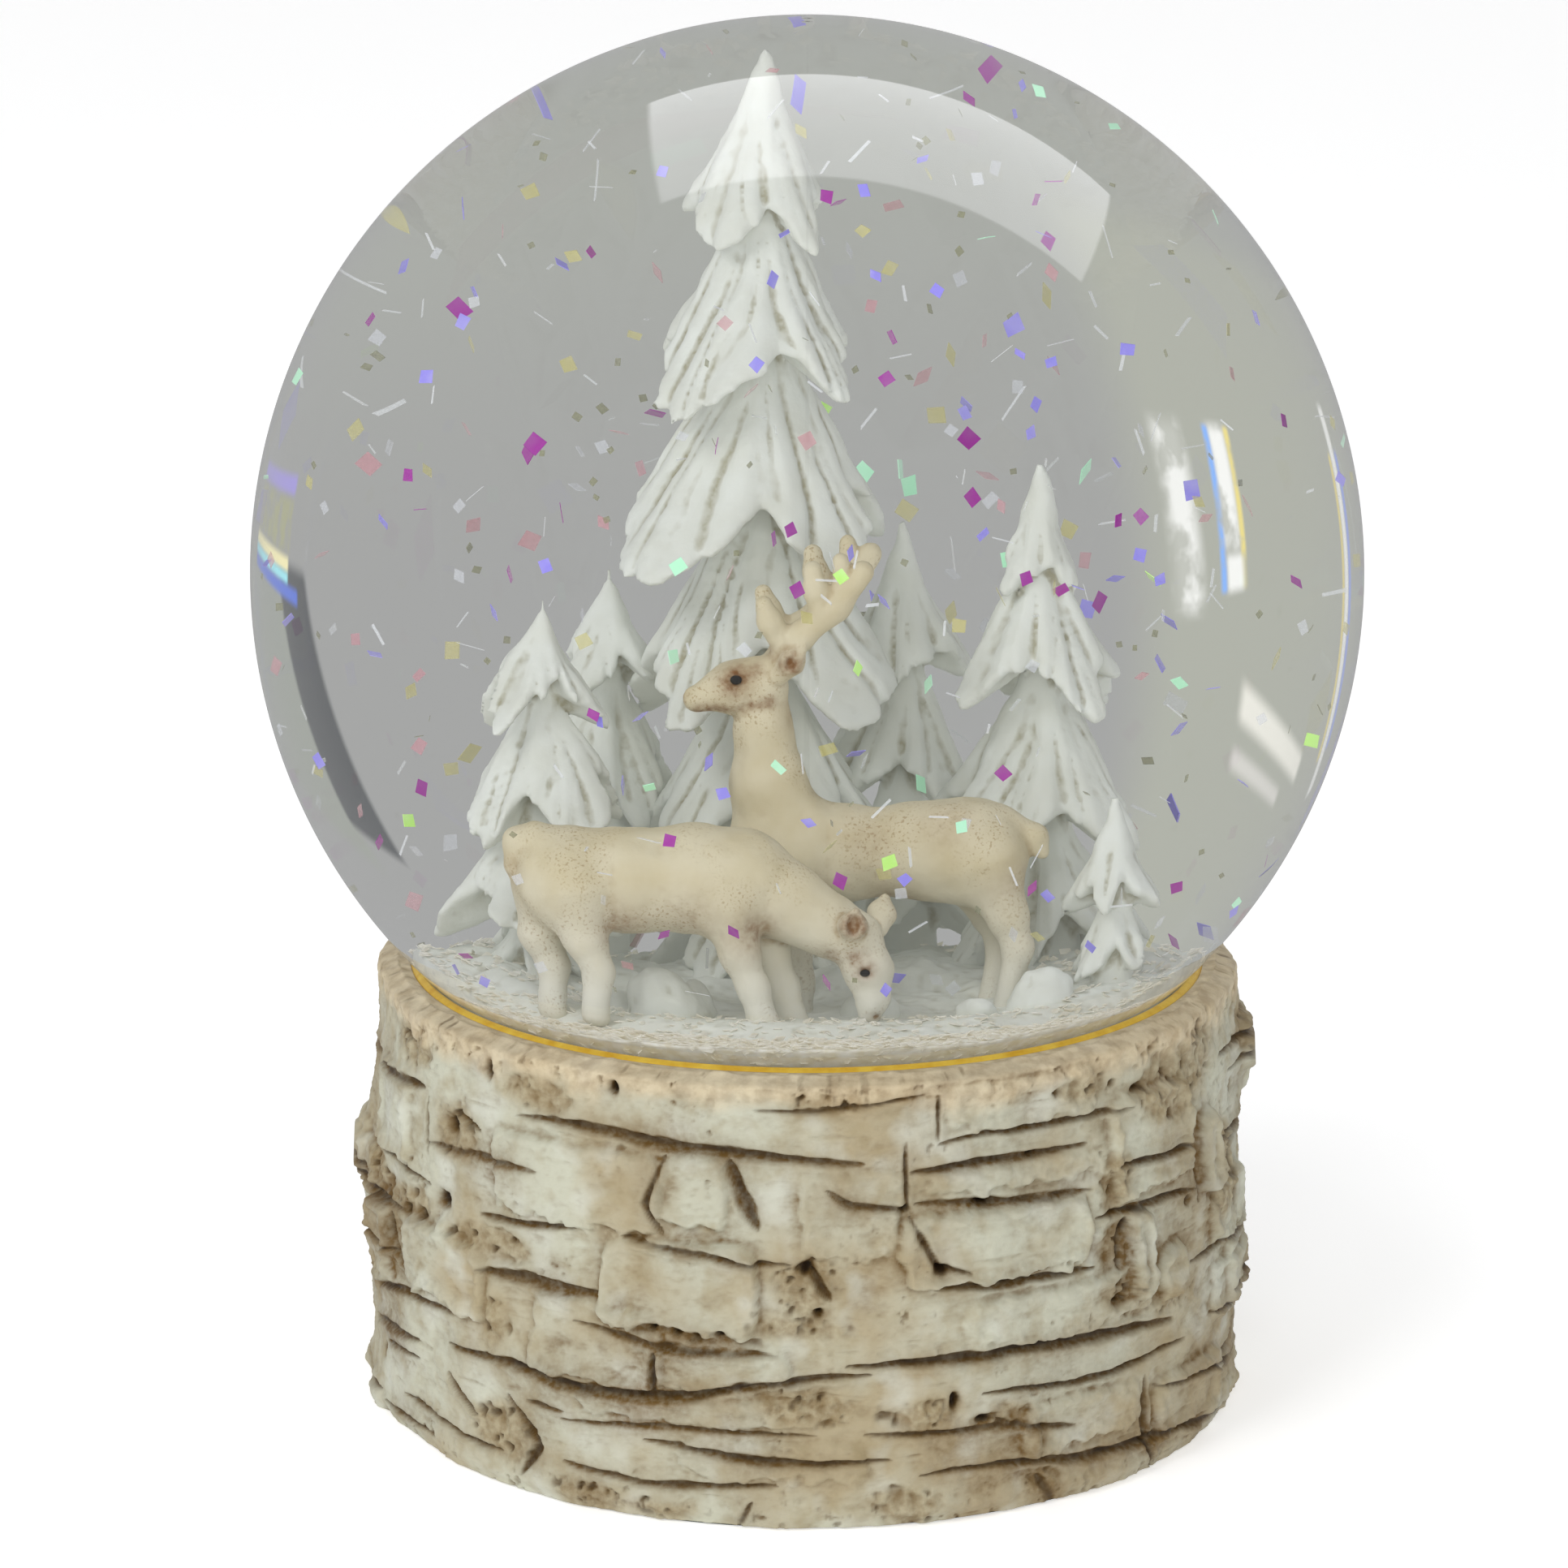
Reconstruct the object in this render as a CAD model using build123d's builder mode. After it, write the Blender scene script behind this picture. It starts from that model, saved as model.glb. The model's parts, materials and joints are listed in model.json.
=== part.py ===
"""Musical snow globe on a birch-bark base: a water-filled glass ball with a winter scene,
held in a cast resin base that hides an 18-note musical movement wound by a key underneath.

Millimetres, +Z up. The origin is the middle of the resting face; the deer look along -Y.
"""

import os
from math import cos, pi, radians, sin, sqrt

from build123d import *

# ---- driving dimensions ------------------------------------------------------------------
globe_r = 50.0
glass_wall = 2.2
globe_z = 76.0  # height of the ball's centre
neck_r = 29.5
neck_bottom = 29.5

base_bottom_r = 40.4
base_top_r = 38.9
base_top = 40.6
felt_thick = 1.0
recess_r = 36.5
cavity_r = 35.0
cover_bottom, cover_top = 7.5, 9.5
cavity_top = 27.6
neck_hole_r = 30.2

seal_bottom, seal_top = 29.6, 34.8
stopper_top = 37.5
ground_r = 26.5

key_x, key_y = -14.0, 6.0  # winding arbor
drum_y, drum_z = 6.0, 18.5  # axis of the music cylinder
note_count = 18

# gear train: contrate wheel -> cylinder pinion, cylinder gear -> governor pinion, wheel -> worm
wheel_teeth, cylinder_pinion_teeth, first_module = 48, 12, 0.55
gear_teeth, governor_pinion_teeth, second_module = 40, 8, 0.30
governor_wheel_teeth, third_module = 24, 0.40
worm_r = 1.1

inner_r = globe_r - glass_wall
neck_inner_r = neck_r - glass_wall
wheel_r = wheel_teeth * first_module / 2
cylinder_pinion_r = cylinder_pinion_teeth * first_module / 2
gear_r = gear_teeth * second_module / 2
governor_pinion_r = governor_pinion_teeth * second_module / 2
governor_wheel_r = governor_wheel_teeth * third_module / 2
governor_y = drum_y + gear_r + governor_pinion_r
fly_y = governor_y + governor_wheel_r + worm_r
fly_x = 22.1
worm_pitch = pi * third_module

os.makedirs("parts", exist_ok=True)
finished = {}


def keep(name, part):
    """Label a finished piece, write its STEP file and remember it for later cuts."""
    part.label = name
    export_step(part, f"parts/{name}.step")
    finished[name] = part
    return part


def sphere_radius_at(z, ball_r):
    """Radius of a ball of that radius, centred on the globe's centre, at height z."""
    return sqrt(ball_r**2 - (z - globe_z) ** 2)


def sphere_height_at(r, ball_r):
    """Lower height at which such a ball has radius r."""
    return globe_z - sqrt(ball_r**2 - r**2)


# ---- glass, stopper and base -------------------------------------------------------------
def glass_globe():
    outer_foot = sphere_height_at(neck_r, globe_r)
    inner_foot = sphere_height_at(neck_inner_r, inner_r)
    with BuildPart() as glass:
        with BuildSketch(Plane.XZ):
            with BuildLine():
                Line((neck_inner_r, neck_bottom), (neck_r, neck_bottom))
                Line((neck_r, neck_bottom), (neck_r, outer_foot))
                ThreePointArc((neck_r, outer_foot), (globe_r, globe_z), (0, globe_z + globe_r))
                Line((0, globe_z + globe_r), (0, globe_z + inner_r))
                ThreePointArc((0, globe_z + inner_r), (inner_r, globe_z), (neck_inner_r, inner_foot))
                Line((neck_inner_r, inner_foot), (neck_inner_r, neck_bottom))
            make_face()
        revolve(axis=Axis.Z)
    return keep("glass_globe", glass.part)


def rubber_stopper():
    plug_r = neck_inner_r
    flange_bottom = neck_bottom - 1.5
    with BuildPart() as stopper:
        with BuildSketch(Plane.XZ):
            with BuildLine():
                Polyline(
                    (0, flange_bottom + 1.2),
                    (12, flange_bottom + 1.2),
                    (14, flange_bottom),
                    (neck_r, flange_bottom),
                    (neck_r, neck_bottom),
                    (plug_r, neck_bottom),
                    (plug_r, sphere_height_at(plug_r, inner_r)),
                    (plug_r - 0.8, stopper_top),
                    (0, stopper_top),
                    close=True,
                )
            make_face()
        revolve(axis=Axis.Z)
    return keep("rubber_stopper", stopper.part)


trim_bottom, trim_top = 38.8, 40.4
trim_inner_r, trim_outer_r = 35.3, 36.6
boss_r, boss_reach, boss_height = 3.0, 31.2, 8.0
cover_screw_angles = (0, 90, 225)
screw_hole_r, screw_hole_depth = 1.1, 6.5
cover_screws_at = [
    (boss_reach * cos(radians(a)), boss_reach * sin(radians(a))) for a in cover_screw_angles
]


def birch_base():
    seat_gap = 0.35
    seat_ball = globe_r + seat_gap
    seat_foot = sphere_height_at(neck_hole_r, seat_ball)
    seat_head_r = sphere_radius_at(trim_bottom, seat_ball)
    with BuildPart() as base:
        with BuildSketch(Plane.XZ):
            with BuildLine():
                Line((recess_r, felt_thick), (base_bottom_r - 0.8, felt_thick))
                Line((base_bottom_r - 0.8, felt_thick), (base_bottom_r, felt_thick + 1.2))
                Line((base_bottom_r, felt_thick + 1.2), (base_bottom_r, 20))
                Line((base_bottom_r, 20), (base_top_r + 0.5, base_top - 3))
                Line((base_top_r + 0.5, base_top - 3), (base_top_r - 0.6, base_top - 0.4))
                Line((base_top_r - 0.6, base_top - 0.4), (base_top_r - 1.4, base_top))
                Line((base_top_r - 1.4, base_top), (trim_outer_r, base_top))
                Line((trim_outer_r, base_top), (trim_outer_r, trim_bottom))
                Line((trim_outer_r, trim_bottom), (seat_head_r, trim_bottom))
                middle_r = (seat_head_r + neck_hole_r) / 2
                ThreePointArc(
                    (seat_head_r, trim_bottom),
                    (middle_r, sphere_height_at(middle_r, seat_ball)),
                    (neck_hole_r, seat_foot),
                )
                Line((neck_hole_r, seat_foot), (neck_hole_r, cavity_top))
                Line((neck_hole_r, cavity_top), (cavity_r - 2, cavity_top))
                Line((cavity_r - 2, cavity_top), (cavity_r, cavity_top - 2))
                Line((cavity_r, cavity_top - 2), (cavity_r, cover_top))
                Line((cavity_r, cover_top), (recess_r, cover_top))
                Line((recess_r, cover_top), (recess_r, felt_thick))
            make_face()
        revolve(axis=Axis.Z)
        # bosses for the cover screws, run into the cavity wall
        with BuildSketch(Plane.XY.offset(cover_top)):
            for angle in cover_screw_angles:
                with PolarLocations(boss_reach, 1, start_angle=angle):
                    Circle(boss_r)
                with PolarLocations(boss_reach + 2.5, 1, start_angle=angle):
                    Rectangle(5, 2 * boss_r)
            Circle(cavity_r + 0.5, mode=Mode.INTERSECT)
        extrude(amount=boss_height)
        with BuildSketch(Plane.XY.offset(cover_top)):
            with Locations(*cover_screws_at):
                Circle(screw_hole_r)
        extrude(amount=screw_hole_depth, mode=Mode.SUBTRACT)
    return keep("birch_base", base.part)


def ring(name, bottom, top, inner, outer, soften=0.0):
    """A plain flat ring."""
    with BuildPart() as made:
        with BuildSketch(Plane.XY.offset(bottom)):
            Circle(outer)
            Circle(inner, mode=Mode.SUBTRACT)
        extrude(amount=top - bottom)
        if soften:
            fillet(made.faces().sort_by(Axis.Z)[-1].edges(), soften)
    return keep(name, made.part)


# ---- the winter scene --------------------------------------------------------------------
def snow_ground():
    with BuildPart() as ground:
        with BuildSketch(Plane.XZ):
            with BuildLine():
                Line((0, stopper_top), (ground_r - 0.2, stopper_top))
                Line((ground_r - 0.2, stopper_top), (ground_r, 41.5))
                Spline((ground_r, 41.5), (24.6, 44.8), (19.5, 46.3), (9, 46.9), (0, 47.1))
                Line((0, 47.1), (0, stopper_top))
            make_face()
        revolve(axis=Axis.Z)
    return keep("snow_ground", ground.part)


def cut_by(names):
    """Take the named finished pieces out of the part that is being built."""
    for name in names:
        add(finished[name], mode=Mode.SUBTRACT)


def fir(name, x, y, tip, tiers, clear_of):
    """A fir of stacked skirts. tiers: (bottom height, skirt radius, waist radius above it)."""
    with BuildPart() as tree:
        with BuildSketch(Plane.XZ.offset(-y)):
            with Locations((x, 0)):
                points = [(0.0, 44.0), (2.2, 44.0), (2.2, tiers[-1][0] + 0.6)]
                for bottom, skirt, waist in reversed(tiers):
                    points += [(skirt - 0.8, bottom), (skirt, bottom + 0.9), (waist, bottom + 6.2)]
                points += [(0.4, tip - 0.5), (0.0, tip)]
            with BuildLine():
                Polyline(*[(x + r, z) for r, z in points], close=True)
            make_face()
        revolve(axis=Axis((x, y, 0), (0, 0, 1)))
        cut_by(clear_of)
    return keep(name, tree.part)


def limb(points):
    """A smooth tapering limb through points (x, y, z, radius), rounded off at both ends."""
    spots = [Vector(x, y, z) for x, y, z, _ in points]
    radii = [r for *_, r in points]
    last = len(spots) - 1
    sections = []
    for i, (spot, r) in enumerate(zip(spots, radii)):
        along = (spots[min(i + 1, last)] - spots[max(i - 1, 0)]).normalized()
        if i == 0:
            sections.append((spot - along * (0.8 * r), along, 0.45 * r))
        sections.append((spot, along, r))
        if i == last:
            sections.append((spot + along * (0.8 * r), along, 0.45 * r))
    rings = []
    for spot, along, r in sections:
        with BuildSketch(Plane(origin=spot, x_dir=(0, 1, 0), z_dir=along)) as ring_sketch:
            Circle(r)
        rings.append(ring_sketch.sketch)
    loft(rings)


stag_limbs = (
    ((-2.4, -5, 60.2, 3.3), (2.5, -5, 58.3, 3.1), (7.5, -5, 58.1, 3.0), (12.2, -5, 58.0, 3.3)),
    ((-2.2, -5, 61.0, 3.0), (-2.7, -5, 65.0, 2.2), (-2.6, -5.1, 69.2, 1.7)),
    ((-2.9, -5.2, 70.0, 1.8), (-5.2, -5.3, 69.1, 1.5), (-7.6, -5.4, 68.3, 1.0)),
    ((-1.8, -6.4, 58.0, 2.0), (-1.9, -7.0, 52.0, 1.1), (-1.7, -7.0, 46.4, 0.9)),
    ((-0.8, -3.6, 58.0, 1.9), (-0.5, -3.0, 52.0, 1.0), (-0.3, -3.0, 46.4, 0.85)),
    ((12.0, -6.2, 57.0, 2.2), (13.3, -7.0, 52.0, 1.15), (12.6, -7.0, 46.4, 0.9)),
    ((11.2, -3.7, 57.0, 2.1), (12.0, -3.1, 52.0, 1.1), (11.4, -3.1, 46.4, 0.85)),
    ((-2.0, -5.9, 71.4, 0.8), (-0.4, -6.5, 73.3, 0.75), (2.3, -7.2, 76.0, 0.8), (4.0, -7.7, 78.0, 0.75)),
    ((-1.2, -6.2, 72.6, 0.7), (-3.0, -6.6, 75.4, 0.5)),
    ((1.0, -6.9, 74.8, 0.75), (0.4, -7.2, 78.0, 0.6)),
    ((-2.0, -4.5, 71.4, 0.8), (-0.2, -3.9, 73.3, 0.7), (2.7, -3.3, 75.8, 0.75), (4.2, -3.0, 77.2, 0.7)),
    ((-1.0, -4.1, 72.6, 0.65), (-2.6, -3.8, 75.2, 0.5)),
    ((-1.6, -6.6, 70.9, 0.75), (-0.6, -7.8, 71.9, 0.4)),
    ((-1.6, -3.8, 70.9, 0.75), (-0.6, -2.6, 71.9, 0.4)),
    ((14.2, -5, 59.0, 1.1), (15.9, -5, 58.0, 0.6)),
)
doe_limbs = (
    ((-17.4, -15.6, 57.2, 3.4), (-13.0, -15.8, 57.0, 3.6), (-8.0, -16, 57.3, 3.8), (-5.0, -16, 57.0, 3.6)),
    ((-3.8, -16, 56.8, 3.3), (-0.2, -16.3, 54.5, 2.4), (2.6, -16.6, 53.0, 1.9)),
    ((3.9, -16.8, 52.4, 2.0), (4.6, -16.9, 49.7, 1.55), (4.8, -17.0, 47.6, 1.1)),
    ((-17.0, -17.6, 55.0, 2.3), (-16.4, -18.0, 51.0, 1.25), (-15.9, -18.0, 46.0, 1.05)),
    ((-19.0, -14.6, 55.0, 2.2), (-19.9, -14.0, 51.0, 1.15), (-19.6, -14.0, 46.0, 1.0)),
    ((-5.4, -17.6, 54.0, 1.9), (-4.2, -18.0, 50.0, 1.2), (-3.0, -18.0, 46.0, 1.0)),
    ((-4.4, -14.4, 54.0, 1.8), (-2.2, -14.0, 50.0, 1.1), (-0.9, -13.9, 46.0, 0.9)),
    ((2.9, -17.8, 53.2, 0.9), (3.3, -19.2, 54.7, 0.5)),
    ((5.4, -15.6, 53.4, 0.8), (6.0, -14.2, 54.6, 0.5)),
    ((-20.4, -15.8, 59.4, 1.0), (-21.0, -15.6, 57.8, 0.7)),
)


def deer(name, limbs):
    with BuildPart() as animal:
        for points in limbs:
            limb(points)
        cut_by(["snow_ground"])
    return keep(name, animal.part)


def boulders():
    with BuildPart() as stones:
        for x, y, z, r in ((-10.6, -12.4, 46.4, 2.2), (4.6, -9.6, 46.6, 1.9), (17.2, -8.8, 46.2, 2.4)):
            with Locations((x, y, z)):
                Sphere(r)
        cut_by(["snow_ground"])
    return keep("boulders", stones.part)


def settled_snow():
    """Loose flakes lying in the trough between the scene and the glass."""
    inside, inside_top, outside_top = ground_r + 0.05, 44.0, 43.8
    ball = inner_r - 0.05
    foot = stopper_top + 0.05
    foot_r, head_r = sphere_radius_at(foot, ball), sphere_radius_at(outside_top, ball)
    middle_r = (foot_r + head_r) / 2
    with BuildPart() as drift:
        with BuildSketch(Plane.XZ):
            with BuildLine():
                Line((inside, foot), (inside, inside_top))
                Line((inside, inside_top), (head_r, outside_top))
                ThreePointArc(
                    (head_r, outside_top),
                    (middle_r, sphere_height_at(middle_r, ball)),
                    (foot_r, foot),
                )
                Line((foot_r, foot), (inside, foot))
            make_face()
        revolve(axis=Axis.Z)
    return keep("settled_snow", drift.part)


flake_side, flake_thick, flake_count = 1.1, 0.12, 48
golden_angle = 180 * (3 - sqrt(5))


def glitter_flakes():
    """Square flakes adrift in the liquid, spread by the golden angle over a shell of the ball."""
    with BuildPart() as flakes:
        for i in range(flake_count):
            up = 0.93 - 1.42 * (i + 0.5) / flake_count
            reach = 38.0 + 2.2 * (i % 4)
            turn = i * golden_angle
            flat = sqrt(1 - up * up)
            spot = (
                reach * flat * cos(radians(turn)),
                reach * flat * sin(radians(turn)),
                globe_z + reach * up,
            )
            with Locations(Location(spot, (37 * i % 180, 61 * i % 180, 0))):
                Box(flake_side, flake_side, flake_thick)
    return keep("glitter_flakes", flakes.part)


def liquid_fill(takes_up):
    foot = sphere_height_at(neck_inner_r, inner_r)
    with BuildPart() as liquid:
        with Locations((0, 0, globe_z)):
            Sphere(inner_r)
        split(bisect_by=Plane.XY.offset(foot), keep=Keep.TOP)
        cut_by(takes_up)
    return keep("liquid_fill", liquid.part)


# ---- cover, key and screws ---------------------------------------------------------------
movement_screws_at = ((-22.5, -13.5), (21.0, -13.5), (11.0, 17.0))
head_r, shank_r, head_high = 2.4, 1.1, 1.3
arbor_r = 1.5
plate_bottom, plate_top = cover_top, 11.5


def bottom_cover():
    with BuildPart() as cover:
        with BuildSketch(Plane.XY.offset(cover_bottom)):
            Circle(recess_r - 0.2)
            with Locations((key_x, key_y)):
                Circle(3.0, mode=Mode.SUBTRACT)
            with Locations(*cover_screws_at, *movement_screws_at):
                Circle(shank_r + 0.2, mode=Mode.SUBTRACT)
            # sound slots below the comb
            with Locations(*[(x, -22.5) for x in (-8, -4, 0, 4, 8)]):
                SlotOverall(9, 1.6, rotation=90, mode=Mode.SUBTRACT)
        extrude(amount=cover_top - cover_bottom)
        for x, y in (*cover_screws_at, *movement_screws_at):
            with Locations((x, y, cover_bottom + head_high / 2)):
                Cone(head_r + 0.1, shank_r + 0.1, head_high, mode=Mode.SUBTRACT)
    return keep("bottom_cover", cover.part)


def countersunk_screws(name, places, length):
    """Cross-head screws, heads down and flush with the cover's underside."""
    with BuildPart() as screws:
        for x, y in places:
            with Locations((x, y, cover_bottom + head_high / 2)):
                Cone(head_r, shank_r, head_high)
            with Locations((x, y, cover_bottom + head_high)):
                Cylinder(shank_r, length, align=(Align.CENTER, Align.CENTER, Align.MIN))
            with Locations((x, y, cover_bottom + 0.3)):
                Box(2.4, 0.5, 0.6, mode=Mode.SUBTRACT)
                Box(0.5, 2.4, 0.6, mode=Mode.SUBTRACT)
    return keep(name, screws.part)


def winding_key():
    hub_r, hub_bottom, hub_top = 3.0, 2.0, 6.9
    wing_span, wing_thick = 10.0, 1.2
    with BuildPart() as key:
        with BuildSketch(Plane.XY.offset(hub_bottom)):
            with Locations((key_x, key_y)):
                Circle(hub_r)
        extrude(amount=hub_top - hub_bottom)
        with BuildSketch(Plane.XZ.offset(-key_y)):
            for side in (-1, 1):
                with Locations((key_x + side * 6.2, (hub_bottom + hub_top) / 2)):
                    Ellipse(wing_span - 6.2, (hub_top - hub_bottom) / 2)
                    Ellipse(1.6, 1.1, mode=Mode.SUBTRACT)
        extrude(amount=wing_thick / 2, both=True)
        with BuildSketch(Plane.XY.offset(hub_bottom + 0.8)):
            with Locations((key_x, key_y)):
                Circle(arbor_r)
        extrude(amount=hub_top, mode=Mode.SUBTRACT)
    return keep("winding_key", key.part)


# ---- the movement ------------------------------------------------------------------------
spring_bottom, spring_top = 17.4, 22.4
housing_r = 11.5


def shaft(name, start, direction, radius, length):
    """A round shaft from start along an axis direction."""
    with BuildPart() as rod:
        with BuildSketch(Plane(origin=start, z_dir=direction)):
            Circle(radius)
        extrude(amount=length)
    return keep(name, rod.part)


comb_tip_y, comb_back_y = drum_y - 7.3, -16.8
comb_left, tooth_step = 1.6, 0.95
comb_bottom, comb_thick = 17.9, 1.1
comb_screws_at = ((5.0, -13.4), (15.4, -13.4))
drum_left, drum_right = 1.5, 18.6


def movement_bedplate():
    with BuildPart() as plate:
        with BuildSketch(Plane.XY.offset(plate_bottom)):
            with Locations((-1, 1.3)):
                RectangleRounded(52, 38.6, 4)
            with Locations((key_x, key_y)):
                Circle(arbor_r + 0.05, mode=Mode.SUBTRACT)
            with Locations(*movement_screws_at):
                Circle(shank_r, mode=Mode.SUBTRACT)
        extrude(amount=plate_top - plate_bottom)
        # raised block that carries the comb
        with BuildSketch(Plane.XY.offset(plate_top)):
            with Locations(((drum_left + drum_right) / 2, -13.2)):
                Rectangle(18.4, 7.4)
            with Locations(*comb_screws_at):
                Circle(1.0, mode=Mode.SUBTRACT)
        extrude(amount=comb_bottom - plate_top)
        # foot bearing of the fly
        with BuildSketch(Plane.XY.offset(plate_top)):
            with Locations((fly_x, fly_y)):
                Circle(1.4)
                Circle(0.45, mode=Mode.SUBTRACT)
        extrude(amount=1.6)
    return keep("movement_bedplate", plate.part)


def tone_comb():
    width = note_count * tooth_step
    slot_long = 9.2
    with BuildPart() as comb:
        with BuildSketch(Plane.XY.offset(comb_bottom)):
            with Locations((comb_left + width / 2, (comb_tip_y + comb_back_y) / 2)):
                Rectangle(width, comb_tip_y - comb_back_y)
            with Locations(
                *[
                    (comb_left + i * tooth_step, comb_tip_y - slot_long * (0.55 + 0.025 * i) / 2)
                    for i in range(1, note_count)
                ]
            ):
                Rectangle(0.22, slot_long, mode=Mode.SUBTRACT)
            with Locations(*comb_screws_at):
                Circle(1.25, mode=Mode.SUBTRACT)
        extrude(amount=comb_thick)
    return keep("tone_comb", comb.part)


def comb_screws():
    with BuildPart() as screws:
        for x, y in comb_screws_at:
            with Locations((x, y, comb_bottom - 5)):
                Cylinder(1.0, 5 + comb_thick, align=(Align.CENTER, Align.CENTER, Align.MIN))
            with Locations((x, y, comb_bottom + comb_thick)):
                Cylinder(2.0, 1.2, align=(Align.CENTER, Align.CENTER, Align.MIN))
            with Locations((x, y, comb_bottom + comb_thick + 1.0)):
                Box(4.2, 0.5, 0.5, mode=Mode.SUBTRACT)
    return keep("comb_screws", screws.part)


def music_cylinder():
    pin_r, pin_high, drum_r = 0.22, 0.5, 6.5
    with BuildPart() as drum:
        with BuildSketch(Plane.YZ.offset(drum_left)):
            with Locations((drum_y, drum_z)):
                Circle(drum_r)
                Circle(0.8, mode=Mode.SUBTRACT)
        extrude(amount=drum_right - drum_left)
        # hollow between the end discs
        with BuildSketch(Plane.YZ.offset(drum_left + 0.8)):
            with Locations((drum_y, drum_z)):
                Circle(drum_r - 0.6)
                Circle(1.6, mode=Mode.SUBTRACT)
        extrude(amount=drum_right - drum_left - 1.6, mode=Mode.SUBTRACT)
        for i in range(note_count * 3):
            note, turn = i % note_count, i * golden_angle
            x = comb_left + (note + 0.5) * tooth_step
            out = Vector(0, cos(radians(turn)), sin(radians(turn)))
            with Locations(Plane(origin=Vector(x, drum_y, drum_z) + out * (drum_r - 0.2), z_dir=out)):
                Cylinder(pin_r, pin_high + 0.2, align=(Align.CENTER, Align.CENTER, Align.MIN))
    return keep("music_cylinder", drum.part)


def spur_gear(name, x, thick, centre_y, teeth, module, bore, tooth_share, first_tooth):
    """A thin-toothed spur gear on an axis along X. first_tooth: degrees from +Y towards +Z."""
    pitch_r = teeth * module / 2
    root_r, tip_r = pitch_r - module, pitch_r + 0.75 * module
    pitch_wide = pi * module * tooth_share
    with BuildPart() as gear:
        with BuildSketch(Plane.YZ.offset(x)):
            with Locations((centre_y, drum_z)):
                Circle(root_r)
                with PolarLocations(0, teeth, start_angle=first_tooth):
                    Polygon(
                        (root_r - 0.3, -0.62 * pitch_wide),
                        (tip_r, -0.32 * pitch_wide),
                        (tip_r, 0.32 * pitch_wide),
                        (root_r - 0.3, 0.62 * pitch_wide),
                        align=None,
                    )
                Circle(bore, mode=Mode.SUBTRACT)
        extrude(amount=thick)
    return keep(name, gear.part)


contrate_top = drum_z - cylinder_pinion_r + 0.8 * first_module
contrate_root = drum_z - cylinder_pinion_r - 1.1 * first_module


def great_wheel():
    """Contrate wheel: its teeth stand up from the rim and drive the cylinder's pinion."""
    face_wide, disc_bottom = 1.4, 12.4
    pitch_wide = 0.3 * pi * first_module
    with BuildPart() as wheel:
        with BuildSketch(Plane.XY.offset(disc_bottom)):
            with Locations((key_x, key_y)):
                Circle(wheel_r + face_wide / 2)
                Circle(arbor_r, mode=Mode.SUBTRACT)
                with PolarLocations(7.0, 5):
                    Circle(2.2, mode=Mode.SUBTRACT)
        extrude(amount=contrate_root - disc_bottom)
        with BuildPart(Plane.XY, mode=Mode.PRIVATE) as tooth:
            with BuildSketch(Plane.YZ.offset(wheel_r - face_wide / 2)):
                Polygon(
                    (-0.72 * pitch_wide, contrate_root - 0.2),
                    (0.72 * pitch_wide, contrate_root - 0.2),
                    (0.4 * pitch_wide, contrate_top),
                    (-0.4 * pitch_wide, contrate_top),
                    align=None,
                )
            extrude(amount=face_wide)
        half_step = 180 / wheel_teeth
        for i in range(wheel_teeth):
            turn = Location((key_x, key_y, 0), (0, 0, half_step * (2 * i + 1)))
            add(tooth.part.moved(turn))
    return keep("great_wheel", wheel.part)


def ratchet_wheel():
    bottom, thick, teeth = contrate_root, 0.8, 12
    with BuildPart() as ratchet:
        with BuildSketch(Plane.XY.offset(bottom)):
            with Locations((key_x, key_y)):
                Circle(2.6)
                with PolarLocations(0, teeth):
                    Polygon((2.4, -0.55), (3.5, -0.45), (2.4, 0.6), align=None)
                Circle(arbor_r, mode=Mode.SUBTRACT)
        extrude(amount=thick)
    return keep("ratchet_wheel", ratchet.part)


def click_spring():
    """Leaf that rides on the ratchet, riveted to the great wheel."""
    bottom, thick = contrate_root, 0.6
    with BuildPart() as click:
        with BuildSketch(Plane.XY.offset(bottom)):
            with Locations((key_x + 2.0, key_y + 9.0)):
                Circle(1.4)
            with Locations((key_x + 1.2, key_y + 6.3)):
                Rectangle(0.8, 5.2, rotation=-8)
        extrude(amount=thick)
    return keep("click_spring", click.part)


def spring_housing():
    """Inverted cup over the mainspring, on three legs outside the great wheel."""
    floor_bottom, top, wall = 16.3, 23.4, 0.8
    leg_angles = (135, 225, 315)
    with BuildPart() as housing:
        with BuildSketch(Plane.XY.offset(floor_bottom)):
            with Locations((key_x, key_y)):
                Circle(housing_r)
                Circle(arbor_r + 0.3, mode=Mode.SUBTRACT)
            for angle in leg_angles:
                with Locations(Location((key_x, key_y, 0), (0, 0, angle))):
                    with Locations((13.5, 0)):
                        Rectangle(5.4, 3.2)
        extrude(amount=0.8)
        with BuildSketch(Plane.XY.offset(floor_bottom + 0.8)):
            with Locations((key_x, key_y)):
                Circle(housing_r)
                Circle(housing_r - wall, mode=Mode.SUBTRACT)
        extrude(amount=top - floor_bottom - 0.8)
        with BuildSketch(Plane.XY.offset(top - wall)):
            with Locations((key_x, key_y)):
                Circle(housing_r)
                Circle(arbor_r + 0.05, mode=Mode.SUBTRACT)
        extrude(amount=wall)
        for angle in leg_angles:
            with BuildSketch(Plane.XY.offset(plate_top)):
                with Locations(Location((key_x, key_y, 0), (0, 0, angle))):
                    with Locations((15.6, 0)):
                        Rectangle(1.2, 3.2)
            extrude(amount=floor_bottom - plate_top)
    return keep("spring_housing", housing.part)


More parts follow.
